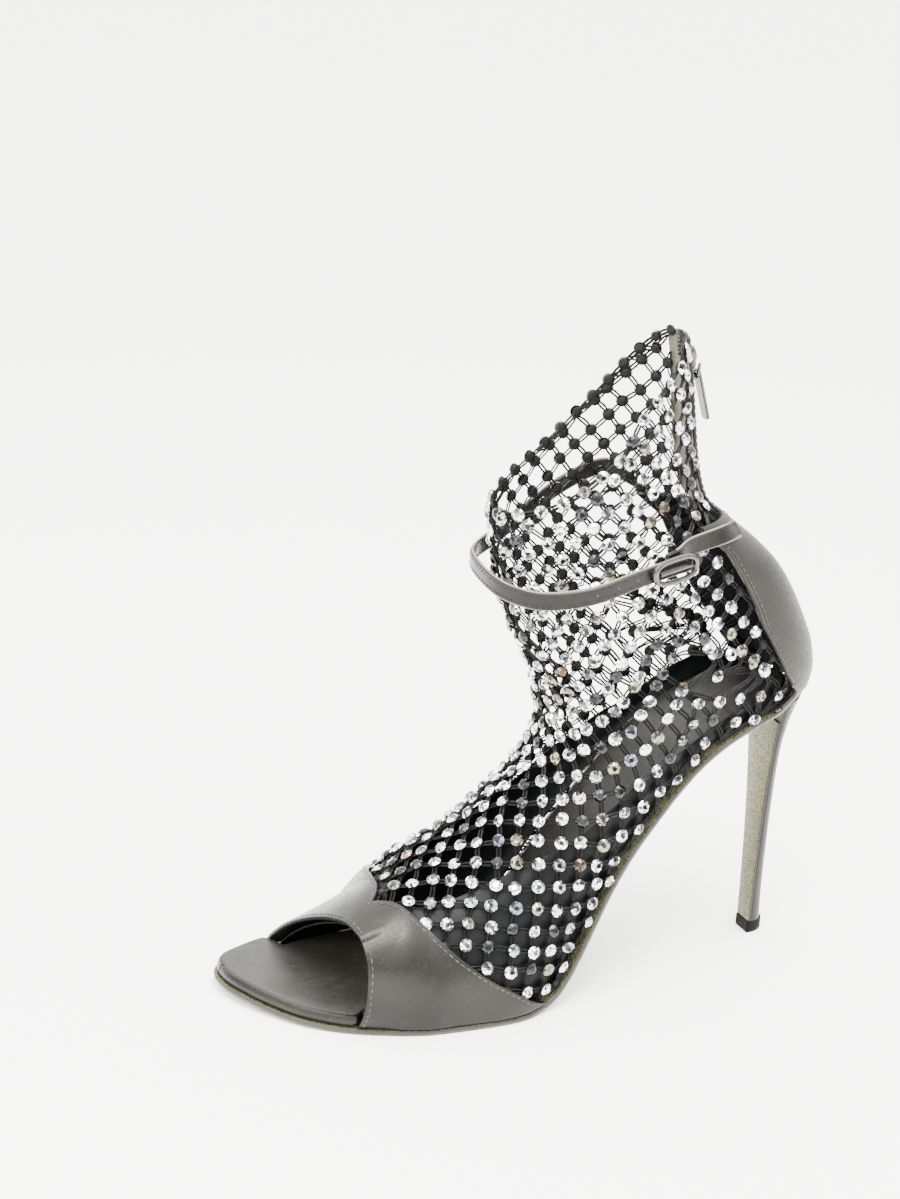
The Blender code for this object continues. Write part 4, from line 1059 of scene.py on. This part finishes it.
def counter(finishes):
    """Heel counter: one smooth sheet round the heel, with a corded and stitched front edge."""
    closed_row = SEAT_ROW + 0.2        # above it the two halves meet at the back seam
    below = np.linspace(COUNTER_EDGE["row"][0], closed_row, 30)
    rows = np.append(below, np.linspace(closed_row, COUNTER_TOP_ROW, 46)[1:])
    edge = counter_front(rows)
    step = np.linspace(0, 1, 22)
    foot = np.interp(rows, [SEAT_ROW - 0.3, closed_row], [COUNTER_FOOT, 1])
    outer = edge[:, None] + (foot - edge)[:, None] * step
    across = np.hstack([outer, -outer[:, ::-1]])
    row = np.broadcast_to(rows[:, None], across.shape)
    grid = above_sole(raised(row, across, LEATHER_LIFT), 3 * GAP)
    middle = len(step) - 1
    above = rows >= closed_row
    grid[above, middle, 1] = 0
    grid[above, middle + 1] = grid[above, middle]
    skip = np.zeros((len(rows) - 1, across.shape[1] - 1), bool)
    skip[:len(below) - 1, middle] = True
    made = skin("counter_sheet", grid, COUNTER_WALL, [finishes["counter"], finishes["lining"]], 0.4,
                skip)
    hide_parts("heel_counter")

    at = np.linspace(COUNTER_EDGE["row"][0] + 0.3, COUNTER_TOP_ROW - 0.1, 260)
    front, girth, face = counter_front(at), girths(at), LEATHER_LIFT + COUNTER_WALL
    for side, word in SIDES:
        cord, out, _ = surface_frame(at, side * (front + 0.1 / girth), face)
        bead = tubes("counter_piping_" + word, above_sole(cord, 1.2)[None], out[None], PIPING,
                     finishes["counter"], sides=8)
        line, out, _ = surface_frame(at, side * (front + 2.2 / girth), face + STITCH_RISE)
        seam = stitches("counter_stitches_" + word, above_sole(line, 2.6), out, finishes["stitch"])
    top, share = np.full(80, COUNTER_TOP_ROW - 0.22), np.linspace(0.7, 0.985, 80)
    for side, word in SIDES:
        line, out, _ = surface_frame(top, side * share, face + STITCH_RISE)
        seam = stitches("counter_top_stitches_" + word, line, out, finishes["stitch"])


def layer(name, turns, inset, low, high, rounding, finishes):
    """A layer of the sole between two heights above the underside, its edges rounded.

    At each turn the section goes up the outer edge, over the top, down the inner edge and under.
    """
    corner = [(1.0, 0.0), (0.35, 0.25), (0.0, 1.0)]    # inset and rise, as shares of rounding
    rings = []
    for side in (1, -1):
        edge = [sole_edge(turns, side, inset[side] + rounding * a, low + rounding * b)
                for a, b in corner]
        edge += [sole_edge(turns, side, inset[side] + rounding * a, high - rounding * b)
                 for a, b in corner[::-1]]
        rings.append(edge if side > 0 else edge[::-1])
    u = np.linspace(0, 1, 9)[1:-1, None, None]
    start, end = rings[0][-1], rings[1][0]
    over = list(start + (end - start) * u)
    return lofted(name, np.stack(rings[0] + over + rings[1], axis=1), finishes)


def sole(finishes):
    """Outsole with its painted edge, leather-wrapped platform and footbed."""
    turns = np.concatenate([np.linspace(0.004, 0.05, 8), np.linspace(0.06, 0.39, 26),
                            np.linspace(0.40, 0.60, 44), np.linspace(0.61, 0.95, 52),
                            np.linspace(0.957, 0.997, 14)])
    seat = np.interp(turns, [0.10, 0.20, 0.48, 0.56], [SEAT_INSET, WAIST_INSET, WAIST_INSET, 0])
    outsole = layer("outsole_layer", turns, {1: seat, -1: seat}, 0, OUTSOLE_WALL, 0.45,
                    [finishes["underside"]])
    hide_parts("outsole")
    normal = np.tile([0, 0, 1.0], (1, len(turns), 1))
    for side, word in SIDES:
        line = sole_edge(turns, side, seat + 0.5, OUTSOLE_WALL * 0.62)
        edge = tubes("outsole_dark_line_" + word, line[None], normal, EDGE_LINE, finishes["edge"],
                     sides=8)

    layers = UPPER_INSET + NET_WALL + LINING_WALL + 5 * GAP
    opening = {}
    for side in (1, -1):
        mouth = upper(0, float(side))[0] + TOE_START
        x = outline(turns, side)[0]
        lean = FLANK_LEAN[side] * np.interp((x + SEAT_BACK) / SOLE_LENGTH, FLANK_START, [0, 1])
        toe = np.interp(x, [mouth - 1, mouth], [0, 1])
        opening[side] = (1 - toe) * (layers + lean) + TOE_INSET * toe
    thick = np.interp(turns, [0.44, 0.56], [PLATFORM_WAIST, PLATFORM_WALL])
    bottom = OUTSOLE_WALL + GAP
    platform = layer("platform_wrap", turns, opening, bottom - 0.2, bottom + thick + SOCK_WALL, 1.7,
                     [finishes["platform"]])
    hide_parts("platform")
    top = bottom + thick + 0.06
    inside = {side: inset + FOOTBED_INSET for side, inset in opening.items()}
    footbed = layer("footbed", turns, inside, top, top + SOCK_WALL, 0.2, [finishes["footbed"]])
    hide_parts("sock")


def heel(finishes):
    """Wrapped stem with half-elliptic sections, flat glittered breast and rubber top lift.

    The table gives depth and width as shares of the tip's, at shares of SEAT_HEIGHT.
    """
    table = {
        "height": (.05, .21, .41, .60, .757, .83, .88),
        "depth": (.73, .67, .67, .67, .70, .84, 1.0),
        "width": (1.02, 1.10, 1.30, 1.66, 2.12, 2.4, 2.6),
    }
    stem_top = table["height"][-1] * SEAT_HEIGHT

    def section(front, depth, half, count=31, corner=0.5):
        """Half ellipse closed by a flat front, its two front corners eased."""
        t = np.linspace(-np.pi / 2, np.pi / 2, count)
        x, y = front - depth * np.cos(t), half * np.sin(t)
        x = np.concatenate([[front, front + corner * 0.3], x[1:-1], [front + corner * 0.3, front]])
        y = np.concatenate([[-half * 0.4, -half + corner], y[1:-1], [half - corner, half * 0.4]])
        return x, y

    rings = []
    for height, grow in ((0, .9), (.5, .98), (1, 1), (TOP_LIFT_WALL - .4, 1), (TOP_LIFT_WALL, .97)):
        x, y = section(TIP_LENGTH / 2, TIP_LENGTH, TIP_HALF_WIDTH)
        rings.append(np.stack([x * grow, y * grow, np.full_like(x, height)], axis=1))
    made = lofted("rubber_top_lift", rings, finishes["rubber"])
    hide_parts("top_lift")

    rings = []
    for height in np.linspace(TOP_LIFT_WALL + GAP * 0.5, stem_top, 44):
        level = height / SEAT_HEIGHT
        depth = TIP_LENGTH * smooth(level, table["height"], table["depth"])
        half = TIP_HALF_WIDTH * smooth(level, table["height"], table["width"])
        x, y = section(STEM_FRONT, depth, half)
        rings.append(np.stack([x, y, np.full_like(x, height)], axis=1))
    for share in (.25, .5, .75, 1):
        depth = np.interp(share, [0, .5, 1], [1.0, 1.17, 1.36])
        width = np.interp(share, [0, .5, 1], [2.6, 3.0, 3.5])
        x, y = section(STEM_FRONT, TIP_LENGTH * depth, TIP_HALF_WIDTH * width)
        top = underside(x)[0] - 0.1
        rings.append(np.stack([x, y, stem_top + (top - stem_top) * share], axis=1))
    made = lofted("wrapped_stem", rings, finishes["heel"])
    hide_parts("heel_stem")

    heights = np.linspace(TOP_LIFT_WALL + GAP, stem_top, 40)
    halves = TIP_HALF_WIDTH * 0.93 * smooth(heights / SEAT_HEIGHT, table["height"], table["width"])
    face = STEM_FRONT + GAP * 0.5
    rings = [[(face, -half, z), (face, half, z), (face + BREAST_WALL * .7, half, z),
              (face + BREAST_WALL, half - .5, z), (face + BREAST_WALL, .5 - half, z),
              (face + BREAST_WALL * .7, -half, z)] for half, z in zip(halves, heights)]
    made = lofted("glitter_breast", rings, finishes["glitter"])
    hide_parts("heel_breast")
    for side, word in SIDES:
        line = np.stack([np.full(40, face + 0.1), side * (halves + 0.15), heights], axis=1)
        seam = tubes("breast_seam_" + word, line[None], np.tile([1.0, 0, 0], (1, 40, 1)), 0.28,
                     finishes["edge"], sides=6)


# ---------------------------------------------------------------- zip, strap and buckle

def rounded_band(path, width_way, width, wall, corner=0.35):
    """Rings of a band with eased corners along a path, and its face normals.

    The 8 points of a ring sit at half the width and half the wall, drawn in by the corner.
    """
    ahead = unit(np.gradient(path, axis=0))
    wide = unit(width_way - (width_way * ahead).sum(1, keepdims=True) * ahead)
    thick = np.cross(ahead, wide)
    w, t, c = np.broadcast_to(width, len(path)) / 2, wall / 2, corner
    spots = [(-w + c, -t), (w - c, -t), (w, -t + c), (w, t - c), (w - c, t), (-w + c, t),
             (-w, t - c), (-w, -t + c)]
    rings = [path + wide * np.reshape(a, (-1, 1)) + thick * b for a, b in spots]
    return np.stack(rings, axis=1), wide, thick


def zipper(finishes):
    """Leather strips with a woven inner face, two rows of teeth, the slider and its pull tab."""
    rows = np.linspace(*ZIP_ROWS, 70)
    girth = np.array([half_girth(row) for row in rows])[:, None]
    for side, word in SIDES:
        share = 1 - (ZIP_OPENING / 2 + TAPE_WIDTH * np.linspace(0, 1, 12)) / girth
        if side > 0:
            share = share[:, ::-1]
        row = np.broadcast_to(rows[:, None], share.shape)
        made = skin("zip_strip_" + word + "_leather", raised(row, side * share, ZIP_LIFT),
                    ZIP_TAPE_WALL, [finishes["leather"], finishes["tape"]], 0.4)
        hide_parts("zip_strip_" + word)
        for name, inset in (("free", 1.1), ("sewn", TAPE_WIDTH - 1.2)):
            at = side * (1 - (ZIP_OPENING / 2 + inset) / girth[:, 0])
            line, out, _ = surface_frame(rows, at, ZIP_LIFT + ZIP_TAPE_WALL + STITCH_RISE)
            seam = stitches("zip_" + name + "_stitches_" + word, line, out, finishes["stitch"])

    lengths = lengths_along(upper(rows, 1.0))
    at = np.arange(0.8, lengths[-1] - 1, TOOTH_PITCH)
    tooth_rows = np.interp(at, lengths, rows)
    closed = tooth_rows < SLIDER_ROW
    sign = np.where(np.arange(len(at)) % 2, 1, -1)
    gap = np.where(closed, TOOTH_APART, ZIP_OPENING / 2 - 0.6)
    tooth = np.array([(x, y, z) for z in (-.55, .55) for x, y in
                      ((-.42, -1.1), (.42, -1.1), (.42, .7), (.25, 1.1), (-.25, 1.1), (-.42, .7))])
    tooth_faces = face_grid(2, 6, wrap=True).tolist() + [list(range(6)), list(range(6, 12))]
    girth_at = girths(tooth_rows)
    place, frames = [], []
    for side in (1, -1):
        own = (~closed) | (sign == side)
        point, out, up = surface_frame(tooth_rows[own], side * (1 - gap[own] / girth_at[own]), 0.55)
        inward = np.cross(up, out) * side
        place.append(point)
        frames.append(np.stack([up, inward, np.cross(up, inward)], axis=1))
    made = scattered("zip_teeth", tooth, tooth_faces, np.concatenate(place), np.concatenate(frames),
                     finishes["metal"])
    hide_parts("zip_chain")
    below = rows < SLIDER_ROW
    share = 1 - np.linspace(0, ZIP_OPENING / 2 + 1.5, 5)[None] / girth[below]
    share = np.hstack([share[:, ::-1], -share[:, 1:]])
    row = np.broadcast_to(rows[below][:, None], share.shape)
    grid = raised(row, share, -0.5)
    grid[:, 4, 1] = 0
    skin("zip_chain_tape", grid, 0.4, [finishes["tape"]], 0.1)

    point, up, out = seam_frame(SLIDER_ROW)
    length, width, thick = SLIDER
    foot = GAP + ZIP_TAPE_WALL + GAP + 0.2
    t = np.arange(20) * 2 * np.pi / 20
    wide = np.sign(np.cos(t)) * np.abs(np.cos(t)) ** 0.45 * width / 2
    deep = np.sign(np.sin(t)) * np.abs(np.sin(t)) ** 0.45 * thick / 2
    rings = []
    for step, grow, flat in ((-.5, .55, .6), (-.47, .7, .8), (-.36, .86, .95), (-.2, .9, 1),
                             (.1, 1, 1), (.36, 1.02, .95), (.47, .9, .8), (.5, .75, .6)):
        middle = point + up * length * step + out * (foot + thick / 2)
        rings.append(middle + np.outer(wide * grow, [0, 1.0, 0]) + np.outer(deep * flat, out))
    made = lofted("slider_body", rings, finishes["metal"])
    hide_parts("zip_slider")
    u = np.linspace(0, np.pi, 9)[:, None]
    arch = point + up * np.cos(u) * length * 0.3 + out * (foot + thick - 0.2 + 1.3 * np.sin(u))
    crown, _, _ = rounded_band(arch, np.array([[0, 1.0, 0]]), 1.7, 0.7, 0.2)
    lofted("slider_crown", crown, finishes["metal"])

    top = foot + thick + GAP + BAIL_WIRE / 2
    hinge = point + out * (top - 1.0) - up * (length / 2 + BAIL_DROP)
    down = np.array([-math.sin(PULL_LEAN), 0, -math.cos(PULL_LEAN)])
    back = np.array([down[2], 0, -down[0]])
    loop = BAIL_WIRE / 2 + GAP + PULL_WALL / 2
    turn = np.linspace(math.radians(65), math.radians(360), 26)[:, None]
    path = hinge + loop * (back * np.cos(turn) + down * np.sin(turn))
    share = np.array([.03, .12, .25, .45, .65, .8, .86, .89, .9])[:, None]
    path = np.vstack([path, path[-1] + down * PULL_LENGTH * share])
    width = np.interp(np.arange(len(path)), [0, 4, 20, 28, 31, 32, 33, 34],
                      PULL_WIDTH * np.array([.6, .8, .8, 1, 1, .95, .8, .5]))
    rings, _, _ = rounded_band(path, np.array([[0, 1.0, 0]]), width, PULL_WALL, 0.25)
    tab = lofted("pull_tab", rings, finishes["metal"], "zip_pull")
    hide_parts("zip_pull")


def strap(finishes):
    """Slack ankle strap and buckle tab (two layers of leather, drawn as one band), with pale edges,
    dark stitches and holes.
    """
    face, half = STRAP_WALL / 2, STRAP_WIDTH / 2
    for name, side, table, count, node in (("strap_band", -1, STRAP_LINE, 200, "ankle_strap"),
                                           ("tab_band", 1, TAB_LINE, 50, "buckle_tab")):
        path, ways = strap_course(side, table, count)
        ends = np.ones(count)
        if side < 0:
            ends[-5:] = np.array([.97, .9, .8, .62, .35])
        rings, wide, thick = rounded_band(path, ways, STRAP_WIDTH * ends, STRAP_WALL)
        made = lofted(name, rings, finishes["strap"])
        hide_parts(node)
        for word, way in (("upper", 1), ("lower", -1)):
            run = slice(0, count - 6)
            binding = tubes(name + "_edge_" + word, (path + wide * (half - 0.1) * way)[None, run],
                            thick[None, run], 0.5, finishes["pale_edge"], sides=8)
            for turned, out in (("front", 1), ("back", -1)):
                line = path + wide * (half - 1.25) * way + thick * (face + 0.05) * out
                seam = stitches(f"{name}_stitches_{word}_{turned}", line[run], (thick * out)[run],
                                finishes["dark_stitch"], pitch=2.1, dash=1.35, thick=0.36)
        if side < 0:
            lengths = lengths_along(path)
            at = lengths[-1] - np.array(HOLES_FROM_END)
            place, out, ahead = [sampled(at, lengths, values) for values in
                                 (path, thick, unit(np.gradient(path, axis=0)))]
            frames = np.stack([ahead, np.cross(out, ahead), out], axis=1)
            # The holes are drawn as dark plugs through the strap: their dark is painted shade,
            # standing in for the open holes
            shape, faces = lump(HOLE_RADIUS, STRAP_WALL + 0.16, 12)
            scattered("strap_hole_shade_plugs", shape, faces, place, frames, finishes["edge"])


# ---------------------------------------------------------------- studio

def studio(finishes):
    """The photograph's camera, a white paper floor, and large soft lights from above."""
    forward = np.array([math.cos(CAMERA_PITCH) * math.cos(CAMERA_YAW),
                        math.cos(CAMERA_PITCH) * math.sin(CAMERA_YAW), math.sin(CAMERA_PITCH)])
    right = unit(np.cross(forward, [0, 0, 1.0]))
    up = np.cross(right, forward)
    turn, tip = math.cos(CAMERA_ROLL), math.sin(CAMERA_ROLL)
    right, up = turn * right + tip * up, turn * up - tip * right
    lens = bpy.data.cameras.new("photo_camera")
    lens.sensor_width = SENSOR
    lens.sensor_fit = "HORIZONTAL"
    lens.lens = FOCAL_PIXELS / PHOTO_WIDTH * SENSOR
    lens.clip_start, lens.clip_end = 0.01, 20
    camera = bpy.data.objects.new("photo_camera", lens)
    bpy.context.scene.collection.objects.link(camera)
    turned = Matrix(np.column_stack([right, up, -forward]).tolist()).to_4x4()
    turned.translation = [value * MM for value in CAMERA_PLACE]
    camera.matrix_world = turned
    bpy.context.scene.camera = camera

    corners = ((-1, -1), (1, -1), (1, 1), (-1, 1))
    mesh = bpy.data.meshes.new("paper_floor")
    mesh.from_pydata([(x * PAPER_HALF, y * PAPER_HALF, 0) for x, y in corners], [], [(0, 1, 2, 3)])
    mesh.materials.append(finishes["paper"])
    floor = bpy.data.objects.new("paper_floor", mesh)
    bpy.context.scene.collection.objects.link(floor)

    world = bpy.data.worlds.new("studio_white")
    world.use_nodes = True
    tree = world.node_tree
    way = add(tree, "ShaderNodeTexCoord").outputs["Generated"]
    height = add(tree, "ShaderNodeSeparateXYZ", {0: way}).outputs[2]
    light = add(tree, "ShaderNodeMapRange", {"Value": height, "From Min": LIGHT_SPAN[0],
                                             "From Max": LIGHT_SPAN[1], "To Min": WORLD_LIGHT[0],
                                             "To Max": WORLD_LIGHT[1]})
    shade = tree.nodes["Background"]
    shade.inputs["Color"].default_value = linear("#fdfdfb")
    tree.links.new(light.outputs["Result"], shade.inputs["Strength"])
    bpy.context.scene.world = world
    for name, place, size, power in SOFT_LIGHTS:
        data = bpy.data.lights.new(name, "AREA")
        data.shape, data.size, data.energy = "SQUARE", size, power
        lamp = bpy.data.objects.new(name, data)
        bpy.context.scene.collection.objects.link(lamp)
        aim = unit(np.array(LIGHT_AIM) - place)
        across = unit(np.cross(aim, [0, 0, 1.0]))
        way = Matrix(np.column_stack([across, np.cross(across, aim), -aim]).tolist()).to_4x4()
        way.translation = place
        lamp.matrix_world = way


def main():
    """Makes the finishes once, then every piece of the shoe and the studio round it."""
    finishes = {
        "leather": pewter_leather("pewter_leather", "#201f1a", "#171612"),
        "platform": pewter_leather("worn_pewter_leather", "#23221d", "#191814", wear=0.9),
        "counter": pewter_leather("counter_leather", "#22211c", "#1a1915", rough=(0.36, 0.55)),
        "heel": pewter_leather("heel_leather", "#25241e", "#1d1c17", rough=(0.36, 0.55)),
        "strap": pewter_leather("strap_leather", "#191814", "#12110e", grain=0.7),
        "footbed": footbed_leather(),
        "underside": glitter_leather("glitter_underside", "#5f5d44", "#3a3828"),
        "glitter": glitter_leather("glitter_breast", "#68664b", "#403e2a"),
        "lining": black_lining(),
        "thread": spun_thread("black_net_thread", "#0c0c0b", "#040404"),
        "stitch": spun_thread("pale_sewing_thread", "#504d42", "#3a372e"),
        "dark_stitch": spun_thread("dark_sewing_thread", "#24221e", "#161412"),
        "crystal": cut_crystal(),
        "metal": nickel_plate(),
        "rubber": moulded_rubber(),
        "tape": woven_tape("olive_zip_tape", "#544f3c", "#3b3728"),
        "edge": edge_paint("dark_edge_paint", "#1c1a17", "#100f0d"),
        "pale_edge": edge_paint("pale_edge_paint", "#76725f", "#585446"),
        "paper": studio_paper(),
    }
    studio(finishes)
    sole(finishes)
    heel(finishes)
    lining(finishes)
    vamp(finishes)
    counter(finishes)
    crystal_net(finishes)
    zipper(finishes)
    strap(finishes)
    for node in ("buckle_frame", "buckle_prong", "zip_bail"):
        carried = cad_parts[node]
        for place in carried.material_slots:
            place.material = finishes["metal"]


main()
